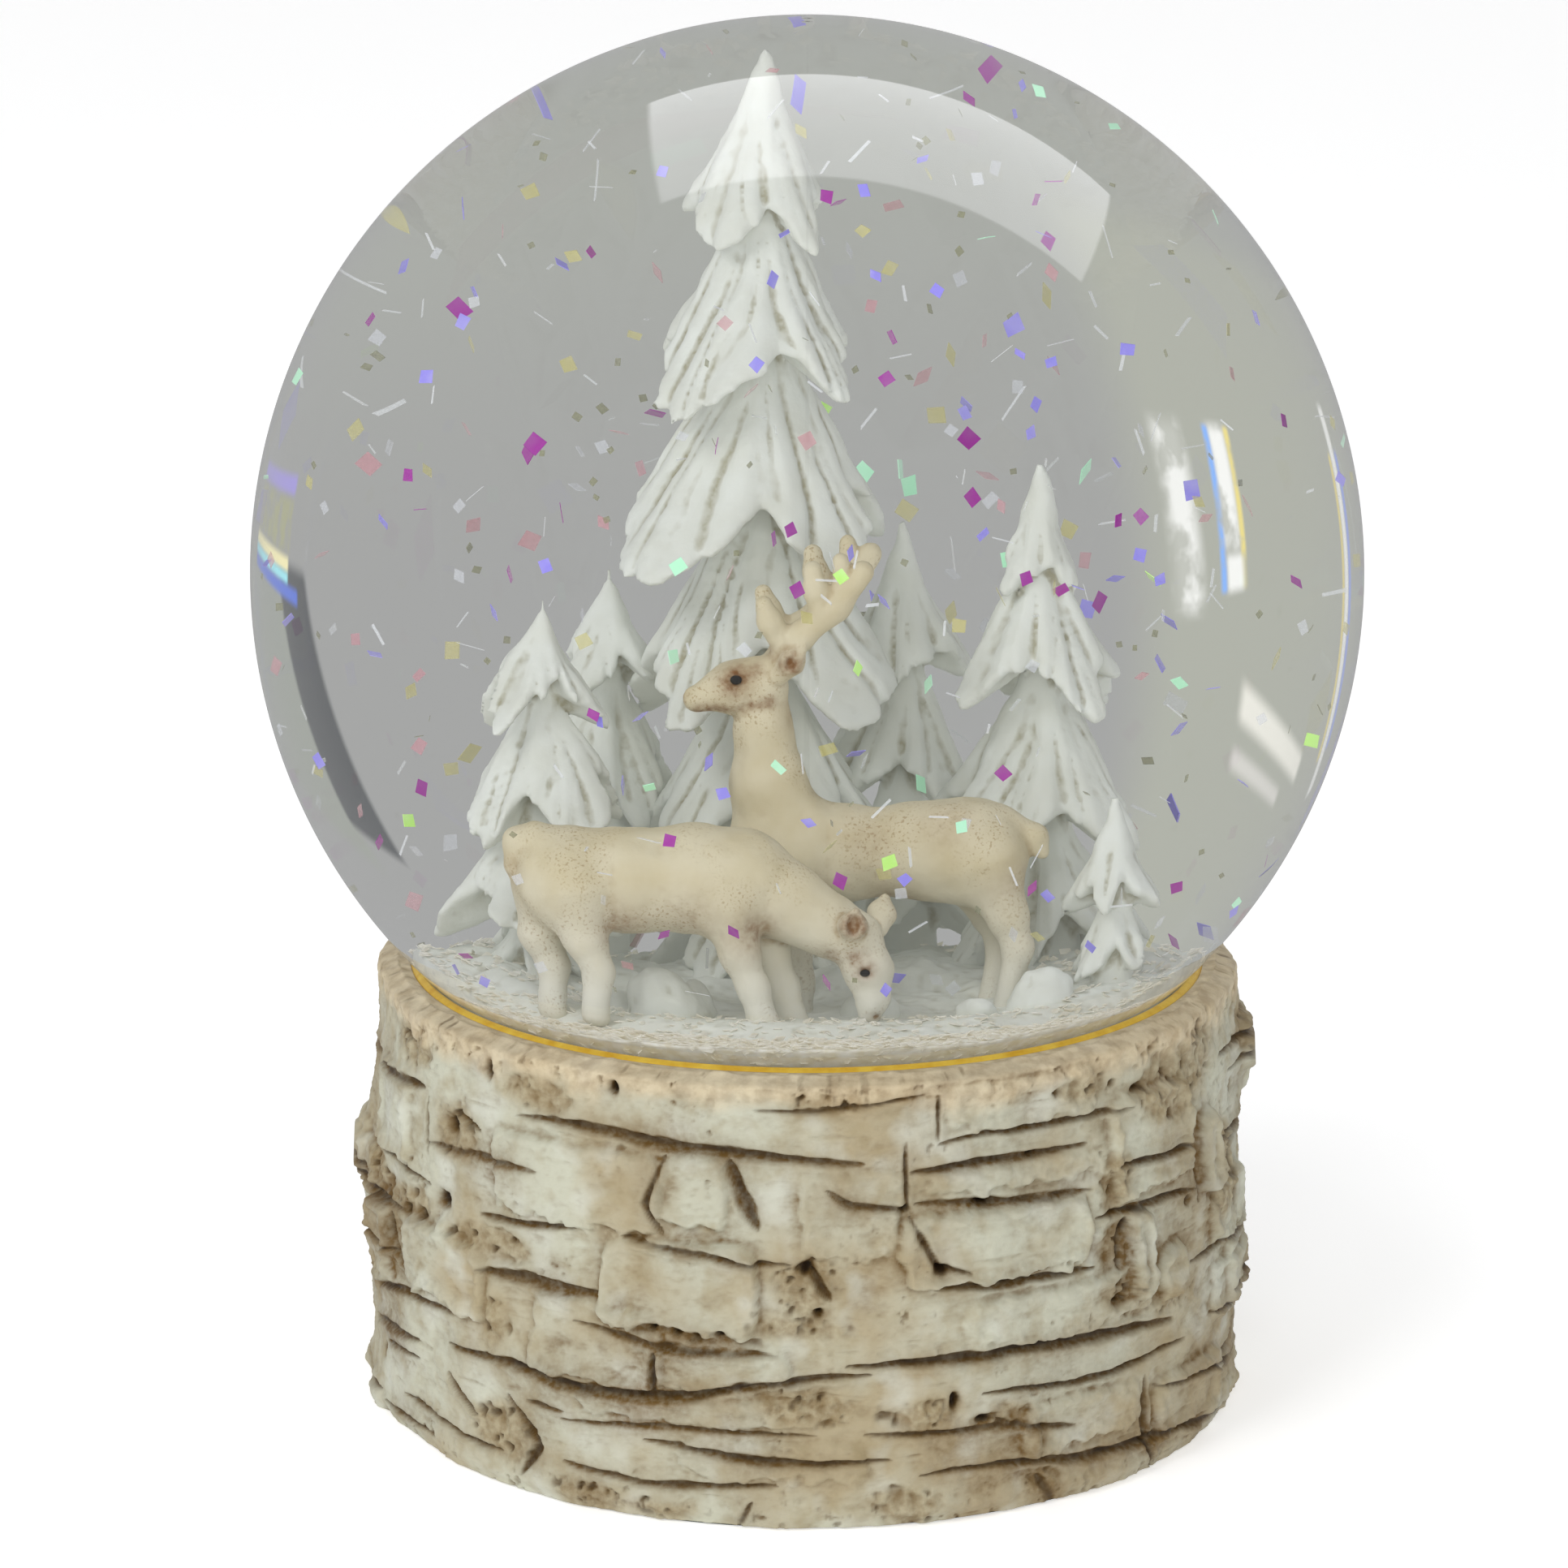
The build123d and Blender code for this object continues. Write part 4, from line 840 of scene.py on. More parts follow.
def glitter(solids):
    """Iridescent flakes and clear slivers adrift in the water, clear of everything solid."""
    trees = [BVHTree.FromObject(o, bpy.context.evaluated_depsgraph_get()) for o in solids]
    rng = random.Random(211)
    glass_gap, lowest = 3.2, 46.5

    def free_spot(clearance):
        while True:
            direction = random_normal(rng)
            reach = (water_r - glass_gap) * rng.random() ** (1 / 3)
            spot = np.array(direction) * reach + (0, 0, ball_z)
            if spot[2] < lowest:
                continue
            here = Vector(spot) * MM
            for tree in trees:
                near = tree.find_nearest(here, clearance * MM * 6)
                if near[0] is None:
                    continue
                away = here - near[0]
                if away.length < clearance * MM or away.dot(near[1]) < 0:
                    break
            else:
                return spot

    kinds = (
        ("magenta", rgb(170, 40, 165), 0.12, 62, 1.15),
        ("violet", rgb(160, 150, 250), 0.25, 92, 1.1),
        ("mint", rgb(190, 255, 215), 0.0, 26, 1.15),
        ("lime", rgb(200, 255, 130), 0.0, 10, 1.1),
        ("rose", rgb(214, 150, 160), 0.62, 52, 1.15),
        ("straw", rgb(212, 204, 120), 0.6, 56, 1.15),
        ("clear", rgb(225, 228, 235), 0.72, 60, 1.0),
        ("dust", rgb(150, 150, 112), 0.5, 120, 0.55),
    )
    first = None
    for name, colour, opening, count, size in kinds:
        spots = [free_spot(0.9) for _ in range(count)]
        normals = [upright_normal(rng) for _ in spots]
        sizes = [(size * rng.uniform(0.9, 1.15), size * rng.uniform(0.85, 1.1)) for _ in spots]
        points, faces = slips(spots, normals, sizes, rng, 0.05)
        film = flake("glitter_" + name, colour, opening)
        batch = belong(mesh_piece("glitter_" + name + "_flakes", points, faces, film, smooth=False))
        first = first or batch
    spots = [free_spot(1.2) for _ in range(170)]
    sizes = [(rng.uniform(1.0, 2.6), rng.uniform(0.12, 0.3)) for _ in spots]
    points, faces = slips(spots, [random_normal(rng) for _ in spots], sizes, rng, 0.05)
    film = flake("glitter_sliver", rgb(235, 238, 240), 0.6)
    belong(mesh_piece("glitter_slivers", points, faces, film, smooth=False))
    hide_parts("glitter_flakes")


# ---- the birch base -------------------------------------------------------------------------
def blur(field, rows_mm, columns_mm, row_step, column_step):
    """Gaussian blur of a height map that wraps round the base."""
    rows, columns = field.shape
    padded = np.concatenate([field[::-1], field, field[::-1]])
    fr = np.fft.fftfreq(3 * rows)[:, None] / row_step
    fc = np.fft.rfftfreq(columns)[None, :] / column_step
    soften = np.exp(-2 * (math.pi * fr * rows_mm) ** 2 - 2 * (math.pi * fc * columns_mm) ** 2)
    return np.fft.irfft2(np.fft.rfft2(padded) * soften, s=padded.shape)[rows : 2 * rows]


class Bark:
    """A height map of bark unrolled round the base: around is millimetres to the right of the front."""

    def __init__(self, columns=1440, rows=300):
        self.r = bark_r
        self.low, self.high = 0.2, base_top
        self.turn = np.linspace(0, TAU, columns, endpoint=False)
        around = (self.turn + math.pi) % TAU - math.pi
        self.s = (around * self.r)[None, :]
        self.z = np.linspace(self.low, self.high, rows)[:, None]
        self.steps = ((self.high - self.low) / (rows - 1), TAU * self.r / columns)
        self.x = self.r * np.cos(self.turn)[None, :] + 0 * self.z
        self.y = self.r * np.sin(self.turn)[None, :] + 0 * self.z
        self.zz = self.z + 0 * self.x
        self.height, self.dark, self.brown, self.torn = (np.zeros_like(self.zz) for _ in range(4))

    def gap(self, s0):
        """Distance round the base from s0, wrapped."""
        full = TAU * self.r
        return (self.s - s0 - front_s + full / 2) % full - full / 2

    def part(self, s0, z0, wide, tall):
        """The stretch of the map within reach of a spot, with coordinates measured from the spot."""
        away = self.gap(s0)[0]
        columns = np.nonzero(np.abs(away) < wide)[0]
        rows = np.nonzero(np.abs(self.z[:, 0] - z0) < tall)[0]
        return np.ix_(rows, columns), away[columns][None, :], self.z[rows] - z0

    def ragged(self, scale, amount, seed, stretch=1.0, cut=(slice(None), slice(None)), layers=3):
        return amount * layered_noise(self.x[cut], self.y[cut], self.zz[cut] * stretch, scale, seed, layers)

    def raise_to(self, field, cut, values):
        field[cut] = np.maximum(field[cut], values)

    def channel(self, path, width, depth, black, seed):
        """A long breathing mark or a crack: a rounded channel that tapers to both ends, brown to black inside."""
        path = np.array(path, float)
        low, high = path.min(0), path.max(0)
        middle = (low + high) / 2
        cut, s, z = self.part(*middle, *((high - low) / 2 + 1.5 * width + 1.5))
        path = path - middle
        wobble = self.ragged(7.0, 0.22, seed, cut=cut, layers=2)
        s, z = s + wobble, z + wobble
        lengths = np.hypot(*np.diff(path, axis=0).T)
        starts = np.concatenate([[0], np.cumsum(lengths)])
        best, along = np.full(s.shape, 99.0), np.zeros(s.shape)
        for a, b, length, start in zip(path, path[1:], lengths, starts):
            way = (b - a) / length
            t = np.clip((s - a[0]) * way[0] + (z - a[1]) * way[1], 0, length)
            off = np.hypot(s - a[0] - t * way[0], z - a[1] - t * way[1])
            along = np.where(off < best, (start + t) / starts[-1], along)
            best = np.minimum(off, best)
        taper = np.clip(1 - np.abs(2 * along - 1) ** 3, 0, 1) ** 0.6
        half = 0.42 * width * (0.2 + 0.8 * taper) * (1 + self.ragged(2.0, 0.3, seed + 5, cut=cut, layers=2))
        share = best / np.maximum(half, 0.06)
        slit = 1 - smooth_step(0.3, 1.3, share)
        lips = np.exp(-(((best - half - 0.25) / 0.25) ** 2)) * taper
        self.height[cut] += 0.16 * depth * lips - 0.62 * depth * slit * (0.4 + 0.6 * taper)
        core = (1 - smooth_step(0.45, 1.15, share)) * (0.4 + 0.6 * taper)
        self.raise_to(self.brown, cut, core)
        deep = (1 - smooth_step(0.2, 0.95, share)) * (0.3 + 0.7 * taper) * (0.5 + 0.5 * black)
        self.raise_to(self.dark, cut, deep * (0.85 + self.ragged(1.6, 0.25, seed + 9, cut=cut, layers=2)))

    def plate(self, s0, z0, wide, tall, lift, seed):
        """A layer of bark raised above its neighbours, with a lumpy edge that is roughest below."""
        cut, s, z = self.part(s0, z0, wide / 2 + 2.5, tall / 2 + 2.5)
        across = np.abs(s) - wide / 2 + self.ragged(2.2, 0.5, seed, cut=cut)
        rougher = 0.6 + 0.8 * (z < 0)
        upward = np.abs(z) - tall / 2 + self.ragged(1.6, 0.5, seed + 7, cut=cut) * rougher
        edge = smooth_max(across, upward, 1.6)
        mask = 1 - smooth_step(-0.3, 0.3, edge)
        curl = np.exp(-(((edge + 0.6) / 0.5) ** 2)) * mask
        self.height[cut] += mask * lift + (0.4 * lift + self.ragged(1.0, 0.16, seed + 2, cut=cut)) * curl

    def scar(self, s0, z0, wide, tall, seed):
        """A patch where the smooth layer is gone: sunken, crumbly, pitted and brown."""
        cut, s, z = self.part(s0, z0, 0.9 * wide + 1, 0.9 * tall + 1)
        edge = np.hypot(2 * s / wide, 2 * z / tall) + self.ragged(2.4, 0.45, seed, cut=cut)
        mask = 1 - smooth_step(0.55, 1.2, edge)
        pits = smooth_step(0.3, 0.9, self.ragged(0.9, 1.0, seed + 5, cut=cut, layers=2))
        self.height[cut] += mask * (self.ragged(1.2, 0.3, seed + 3, cut=cut) - 0.18 - 0.45 * pits)
        self.raise_to(self.dark, cut, 0.55 * mask * pits)
        self.raise_to(self.torn, cut, mask)

    def hole(self, s0, z0, wide, tall, depth):
        """A knot or an air pocket."""
        cut, s, z = self.part(s0, z0, 4 * wide + 1, 4 * tall + 1)
        d = np.sqrt((s / wide) ** 2 + (z / tall) ** 2) + self.ragged(1.0, 0.22, int(500 + 7 * s0), cut=cut)
        well = np.exp(-(d**2) * 1.2)
        self.height[cut] -= depth * well
        self.raise_to(self.dark, cut, smooth_step(0.3, 0.75, well))
        self.raise_to(self.brown, cut, smooth_step(0.1, 0.6, well))

    def swelling(self, s0, z0, wide, tall, lift):
        d = (self.gap(s0) / wide) ** 2 + ((self.zz - z0) / tall) ** 2
        self.height += lift * np.exp(-d)


front_s = -math.pi / 2 * bark_r  # the front, as a length round the base


# The front of the bark. Each mark begins with its place, (around, height) in millimetres, but a channel's
# row is its width, its depth, how black it is, and then the points of its path.
CHANNELS = (
    (1.2, 0.9, 0.7, -53.1, 33.2, -41.3, 33.8), (0.8, 0.8, 0.7, -35.9, 33.1, -32, 32.3),
    (0.9, 0.5, 0.3, -39.8, 29.3, -31.7, 30.1, -24.9, 30.2),
    (0.7, 0.7, 0.5, -52.4, 26.2, -45.5, 25.8, -39.5, 25.4),
    (1.2, 0.9, 0.55, -27.6, 34.6, -21, 34.9, -12, 34.3, -7, 34, 1.2, 33.4, 5.2, 33.2),
    (0.6, 0.5, 0.3, -4.6, 38, 1.1, 37.9, 5.3, 38.3, 10.5, 38.8),
    (1, 0.8, 0.4, -31.9, 24.7, -26.1, 25, -20.8, 25.9),
    (0.85, 0.8, 0.45, -16.2, 26, -9.9, 25.2, -5.3, 24.6, -1.3, 24.5),
    (1.5, 0.9, 0.4, -31.5, 19.9, -25.3, 20.3, -18.4, 20.1), (0.9, 0.6, 0.35, -21, 17.5, -14.7, 16.9, -2.6, 16.2),
    (0.9, 0.8, 0.45, -59.2, 11.4, -43.7, 14, -34.8, 14.7), (1.1, 0.8, 0.4, -55, 8.2, -41.2, 10.2),
    (1.25, 1, 0.8, -35.8, 11.9, -24.7, 12, -19.5, 11.5, -11.8, 11.9, -5.3, 13.6, 1.2, 14.1, 5.5, 14.2),
    (0.6, 0.6, 0.4, -49.7, 7.3, -41.3, 8.4), (0.7, 0.7, 0.4, -44.5, 4.1, -36.5, 3.6, -29.2, 3.3),
    (0.6, 0.7, 0.4, -49.5, 1.8, -38.6, 1.9), (0.6, 0.5, 0.25, -22.1, 8.3, -10.7, 9, 1.1, 9.1),
    (1.05, 0.8, 0.5, -14.3, 7.5, -6.6, 6.7, 1.1, 6.3, 7.2, 6.4),
    (0.85, 0.7, 0.4, -22, 4.3, -14.8, 3.3, -9.4, 3.6, -2.6, 4), (0.5, 0.4, 0.2, -26.1, 9, -21.7, 9),
    (0.8, 0.8, 0.6, 11.9, 34.4, 16, 34.8, 31.8, 34.7),
    (0.9, 0.9, 0.65, 9, 32, 14.8, 32.1, 20.9, 32.2, 26.7, 32.1),
    (0.9, 0.7, 0.3, 1.8, 31.1, 3.9, 29.7, 8.8, 28.7), (0.8, 0.6, 0.35, 9.4, 29.2, 15, 28.8, 26.9, 28.2),
    (0.85, 0.9, 0.75, 10.4, 21.8, 17, 21.5, 26.9, 21.1),
    (1.25, 1.1, 0.95, 3.4, 15.2, 11.3, 15.1, 20, 15.3, 30.5, 14.2, 37.9, 13.3),
    (0.8, 0.9, 0.8, 15.7, 11.8, 20.1, 11.4, 25.4, 10.9, 32.6, 10.9, 39.9, 10.8),
    (0.8, 0.7, 0.5, 4.9, 8.7, 12.7, 8.4, 20.1, 7.8, 25.1, 6.9),
    (0.95, 0.9, 0.85, 9.9, 4.8, 17.1, 4.7, 25.1, 3.9, 32.8, 3.2, 40.2, 2.5, 52, 0.7),
    (0.8, 0.9, 0.85, 29.6, 29.8, 34.6, 29.5, 41.4, 29.2), (0.8, 0.9, 0.8, 27.3, 25.4, 32.6, 25.3, 41.7, 24.5),
    (0.7, 0.8, 0.6, 41.1, 17.6, 49.3, 17.3, 59.2, 16), (0.7, 0.8, 0.6, 45.1, 11.7, 59.1, 9.2),
    (0.7, 0.8, 0.7, 35.4, 7.7, 44.6, 6.7, 59.1, 3.5), (1.5, 1, 0.6, -6.8, 33.4, -5.3, 30.1, -4, 27.4),
    (0.8, 0.7, 0.5, -12.6, 33.2, -14.1, 29.1, -12.3, 26.6), (0.9, 1, 0.9, -13, 16, -13.3, 12.1),
    (1.1, 1, 0.7, -28.1, 9.2, -26.2, 7.1, -24.4, 5.3, -26.6, 2), (0.7, 0.7, 0.5, -40.4, 33.3, -39.7, 28.3),
    (1.2, 1.1, 0.8, -46.7, 20.7, -45.8, 18.1, -43.9, 15.7), (1.2, 0.9, 0.5, -35.9, 9.1, -34.1, 7.3, -32.1, 6),
    (0.7, 0.7, 0.5, -4.6, 2.6, -5.8, 0.2), (1.1, 1.1, 0.9, 33.8, 9.1, 33.6, 4, 35.1, 0.1),
    (0.9, 1, 0.9, 31, 24.7, 29.9, 22.7, 29.8, 20.2), (0.8, 0.9, 0.7, 41.4, 29.3, 41.7, 26.1, 42.5, 23),
    (0.4, 0.5, 0.3, 11.5, 38.8, 11.7, 34.4), (0.5, 0.6, 0.4, 8.9, 34.9, 9, 28.8),
    (1.3, 0.8, 0.5, 21.3, 3, 23.2, 0), (1.1, 1.2, 0.8, 0.5, 23.9, 2.1, 21.2),
    (0.8, 0.8, 0.5, 9.1, 28.3, 11.3, 23.9, 14.1, 23.1),
)
# place, width, height across, how far it stands out
PLATES = (
    (-11.3, 22, 14, 7.6, 0.75), (-18.8, 15.8, 13, 7.4, 0.45), (-7.2, 14.8, 10.9, 3.6, 0.5),
    (-37.1, 18.6, 12.6, 6.5, 0.6), (-21.5, 29.6, 17.1, 7, 0.45), (-10.1, 30.4, 6.4, 6, 0.5),
    (-9.6, 10.6, 22.5, 2.2, 0.35), (17.3, 25.2, 18, 6.2, 0.8), (35.1, 31, 11.3, 9, 0.7),
    (32.4, 21.4, 2.6, 8.4, 1), (37.1, 18.4, 4.2, 4.6, 0.8), (20, 30.6, 19.3, 1.8, 0.3),
    (44.5, 27.4, 3.4, 8, 0.9), (20, 37.2, 15, 4, 0.4), (26.1, 7.4, 13, 4.4, 0.4), (41.5, 5.4, 12, 5.6, 0.6),
    (-48, 30, 9, 8, 0.5), (-49.5, 17.5, 6, 7.5, 0.9), (4, 28.6, 9, 7.4, 0.3), (-3, 6.4, 16, 3.6, 0.3),
    (24, 18, 20, 4.6, 0.35), (50, 20.6, 10, 5.4, 0.6), (52, 13, 12, 5, 0.4),
)
# place, width, height across
SCARS = (
    (-25.1, 37, 8.6, 3.1), (-29.5, 22.4, 14.6, 3.1), (-28.8, 5.8, 8.4, 5.2), (-2.3, 18.5, 9.9, 3.1),
    (-1.5, 11.9, 7.3, 3.4), (-12.3, 1.2, 6.9, 2.4), (-42.3, 23, 12.9, 3), (-35.8, 31, 5.6, 6.5),
    (-29.7, 15.2, 3.1, 6.4), (-0.2, 22.4, 5.5, 6.5), (-11.3, 18, 12.8, 2.3), (10.7, 10.2, 7.6, 3.5),
    (8.4, 2, 6.5, 3.9), (18.7, 9.5, 6, 2.6), (21.7, 1.8, 4.2, 3.6), (28.9, 22.8, 4.2, 4.4), (39.9, 36, 17, 7.5),
    (20.8, 6.3, 2.6, 3.2), (29.6, 28.4, 4.3, 6.2), (37.1, 16, 11.5, 3.3), (48.5, 24, 9.9, 10.5),
    (2.1, 11.2, 5.2, 3.5), (29.6, 18.2, 5.2, 2.9), (-52, 23.6, 8, 4), (-44, 37, 8, 4), (26, 37.6, 6, 3),
    (-20, 1.6, 8, 2.6), (2, 38.6, 7, 2),
)
# place, half width, half height
PITS = (
    (-36.5, 31.6, 0.9, 0.8), (-37.6, 24.5, 1, 0.9), (-44, 21.9, 0.7, 0.5), (-40.9, 22.2, 0.6, 0.5),
    (0, 23.9, 0.8, 0.7), (-13.2, 18.4, 0.4, 0.4), (-11, 18.1, 0.4, 0.4), (-9.2, 18.1, 0.4, 0.4),
    (-7.2, 18.3, 0.4, 0.4), (-17.6, 38.6, 0.4, 0.7), (-31.3, 38, 0.4, 0.8), (11.7, 23.6, 0.75, 0.65),
    (16, 28.8, 0.95, 0.4), (21.1, 32.1, 0.4, 0.3), (13, 11.2, 0.5, 0.9), (15.9, 9.1, 1, 0.5),
    (29.8, 37.1, 0.3, 0.3), (41.1, 29.2, 0.4, 0.4), (33.3, 36, 0.7, 0.3), (30, 17.5, 0.5, 0.5),
    (40.7, 23.7, 0.5, 0.5), (1, 20, 0.4, 0.4), (8.5, 28.9, 0.4, 0.3), (54.7, 30.3, 0.5, 0.5),
    (-50.3, 6.2, 0.4, 0.6),
)
# place, width, height across, how far it stands out
LUMPS = (
    (60.5, 32.5, 3.4, 3.6, 1.3), (-60.5, 24, 3, 4.5, 1), (-37.2, 22.2, 0.7, 0.8, 0.8), (-29.6, 17.2, 1, 3, 0.8),
    (45, 27, 1.2, 3.4, 0.6), (37.5, 17, 1.4, 1.6, 0.6), (20.5, 6.6, 0.7, 1.6, 0.6), (-31.5, 6, 1.4, 1.6, 0.6),
)


def carve_front(b):
    for n, (s, z, wide, tall, lift) in enumerate(PLATES):
        b.plate(s, z, wide, tall, lift, 400 + 11 * n)
    for n, (s, z, wide, tall) in enumerate(SCARS):
        b.scar(s, z, wide, tall, 600 + 13 * n)
    for n, (width, depth, black, *path) in enumerate(CHANNELS):
        b.channel(tuple(zip(path[::2], path[1::2])), width, depth, black, 200 + 7 * n)
    for s, z, wide, tall in PITS:
        b.hole(s, z, wide, tall, 1.3)
    for lump in LUMPS:
        b.swelling(*lump)


def carve_rest(b):
    """The sides and the back, which follow the same habits."""
    rng = random.Random(307)
    span = TAU * b.r
    for s in np.arange(56, span - 56, 6.2):
        if rng.random() < 0.8:
            z, wide, tall = rng.uniform(6, 34), rng.uniform(8, 16), rng.uniform(4, 8)
            b.plate(s, z, wide, tall, rng.uniform(0.35, 0.8), rng.randrange(9999))
        if rng.random() < 0.75:
            b.scar(s + 3, rng.uniform(3, 37), rng.uniform(4, 11), rng.uniform(2.5, 5.5), rng.randrange(9999))
        for level in range(4):
            if rng.random() < 0.8:
                at, z = s + rng.uniform(-3, 3), 5 + 9.6 * level + rng.uniform(-3.5, 3.5)
                half, rise, sag = rng.uniform(4, 12), rng.uniform(-0.6, 0.6), rng.uniform(-0.5, 0.5)
                path = ((at - half, z - rise), (at, z + sag), (at + half, z + rise))
                width, depth, black = rng.uniform(0.6, 1.2), rng.uniform(0.7, 1.0), rng.uniform(0.3, 0.9)
                b.channel(path, width, depth, black, rng.randrange(9999))
        if rng.random() < 0.45:
            z = rng.uniform(6, 34)
            b.channel(((s, z + 2), (s + rng.uniform(-1, 1), z - 2)), 0.9, 0.9, 0.7, rng.randrange(9999))
        if rng.random() < 0.5:
            b.hole(s + 1, rng.uniform(6, 34), rng.uniform(0.4, 0.9), rng.uniform(0.4, 1.0), rng.uniform(0.9, 1.5))


def birch_base():
    """Cast bark round a closed ring that clears the ball and the movement."""
    b = Bark()
    carve_front(b)
    carve_rest(b)
    lip = smooth_step(base_top - 3.6, base_top - 1.2, b.zz + b.ragged(3, 1.0, 945))
    crumbs = smooth_step(0.1, 0.8, b.ragged(6, 1.0, 947)) * 0.6 + 0.6 * lip + 0.5 * (1 - smooth_step(1, 4, b.zz))
    pits = smooth_step(0.45, 1.0, b.ragged(0.8, 1.0, 949)) * crumbs
    b.height += b.ragged(13, 0.5, 901) + b.ragged(4.5, 0.22, 905) + b.ragged(1.5, 0.10, 911, 1.6)
    b.height += crumbs * b.ragged(1.0, 0.12, 915) - 0.35 * pits
    b.height += b.ragged(0.55, 0.04, 921, 2.5)
    streaks = layered_noise(b.x / 8, b.y / 8, b.zz, 0.8, 931, 2)
    b.height += 0.06 * streaks - 0.15 * smooth_step(0.7, 1.0, streaks)
    above = b.zz - b.low
    low_down = 1 - smooth_step(0.5, 4.0, above)
    b.height += low_down * (0.25 + 0.8 * smooth_step(0.0, 0.9, layered_noise(b.x, b.y, 0 * b.x, 4.0, 961, 3)))
    fade = 0.3 + 0.7 * smooth_step(0.0, 1.2, b.high - b.zz)
    height = np.clip(b.height, -1.8, 1.9) * fade
    height = np.where(height < 0, height * smooth_step(0.5, 2.2, above), height)
    # near and far are how far each spot lies below its surroundings; colour driven by them is painted shade in the
    # recesses.
    near = blur(height, 0.25, 0.3, *b.steps) - height
    far = blur(height, 1.0, 1.3, *b.steps) - height
    halo = 0.7 * blur(b.brown, 0.3, 0.4, *b.steps) + 1.15 * blur(b.brown, 1.0, 1.3, *b.steps)
    halo += 0.5 * blur(b.brown, 2.4, 2.6, *b.steps)
    # Brown from near and far is painted shade; the halo round the marks, the pits and the patches are the bark's own
    # colour.
    wash_and_shade = np.clip(2.4 * near, 0, 1) * 0.8 + np.clip(1.9 * far, 0, 1) * 0.8 + halo + 0.3 * pits
    patches = smooth_step(-0.2, 0.9, b.ragged(8, 1.0, 951))
    wash_and_shade = np.clip(wash_and_shade * (0.75 + 0.5 * patches) + 0.20 * patches, 0, 1)
    # Black from near is painted shade deep in the recesses; the rest is the marks' own black.
    dark = np.clip(0.95 * b.dark + np.clip(2.0 * near - 0.6, 0, 0.7) + 0.25 * pits, 0, 1)
    torn = blur(b.torn, 0.5, 0.6, *b.steps)

    # the ring's section: the bark outside, then over the lip and down the hollow inside
    turn = b.turn
    radius = 40.1 - 1.0 * smooth_step(16, base_top, b.zz) - 0.6 * (1 - smooth_step(0, 1.5, above))
    radius = radius - 1.6 * smooth_step(base_top - 1.0, base_top, b.zz) ** 2 + height
    zz = b.zz - 0.10 * height * smooth_step(0, 2, above)
    outside = turned(radius, turn, zz)
    lip_r, lip_low = 36.3, trim_low + 0.02
    rim = []
    for share in (0.12, 0.24, 0.36, 0.5, 0.64, 0.78, 0.9, 1.0):
        r = radius[-1] + (lip_r - radius[-1]) * share
        x, y = r * np.cos(turn), r * np.sin(turn)
        z = zz[-1] + 0.22 * layered_noise(x, y, 0 * x, 1.6, 941, 3) * (1 - share**3) - 0.12 * share
        rim.append(np.stack([x, y, z], axis=-1))
    seat_r, hole_r, shelf, hollow_r, cover_r, foot_r = ball_r + 0.4, 30.25, 27.6, 35, 36.5, 39.22
    inner = [(lip_r, lip_low), (35.3, lip_low)]
    inner += [(r, ball_z - math.sqrt(seat_r**2 - r * r)) for r in np.linspace(34.2, hole_r, 8)]
    inner += [(hole_r, shelf), (hollow_r - 2, shelf), (hollow_r, shelf - 2), (hollow_r, 9.5), (cover_r, 9.5)]
    inner += [(cover_r, base_low), (foot_r, base_low), (foot_r, b.low)]
    inside = [turned(r, turn, z) for r, z in inner]
    rows = [*outside, *rim, *inside]
    points = np.stack(rows)
    faces = ring_faces(points.shape[0], len(turn))
    base = mesh_piece("birch_base_bark", points.reshape(-1, 3), faces, bark)

    def spread(values, on_rim, inside_value):
        """Values for every row of the ring: the outside's own, then one for the rim and one for the hollow."""
        tail = [on_rim + 0 * turn] * len(rim) + [inside_value + 0 * turn] * len(inside)
        return np.concatenate([values, np.stack(tail)]).ravel()

    point_value(base, "wash_and_shade", spread(wash_and_shade, 0.06, 0.15))
    point_value(base, "dark", spread(dark, 0.0, 0.0))
    point_value(base, "torn", spread(torn, 0.0, 0.1))
    point_value(base, "lip", spread(lip, 1.0, 0.0))
    return settle(base, "birch_base")


def trim_ring():
    """Polished gold cord round the foot of the ball."""
    paint = Paint("gold_trim", Metallic=0.45, Roughness=0.3)
    tone = paint.mix(paint.band(paint.mottle(1.6), 0.35, 0.7), rgb(244, 206, 78), rgb(226, 176, 48))
    paint.set("Base Color", tone)
    paint.relief(paint.mottle(0.8), 0.04, 0.4)
    middle_r, half_wide = 35.8, 0.6
    middle_z, half_tall = (trim_low + trim_high) / 2 + 0.3, (trim_high - trim_low) / 2 + 0.1
    turn = np.linspace(0, TAU, 24, endpoint=False)
    outline = [(middle_r + half_wide * math.cos(a), middle_z + half_tall * math.sin(a)) for a in turn]
    ring = lathe("gold_trim_cord", outline, paint.material, 320)
    return settle(ring, "gold_trim_ring")


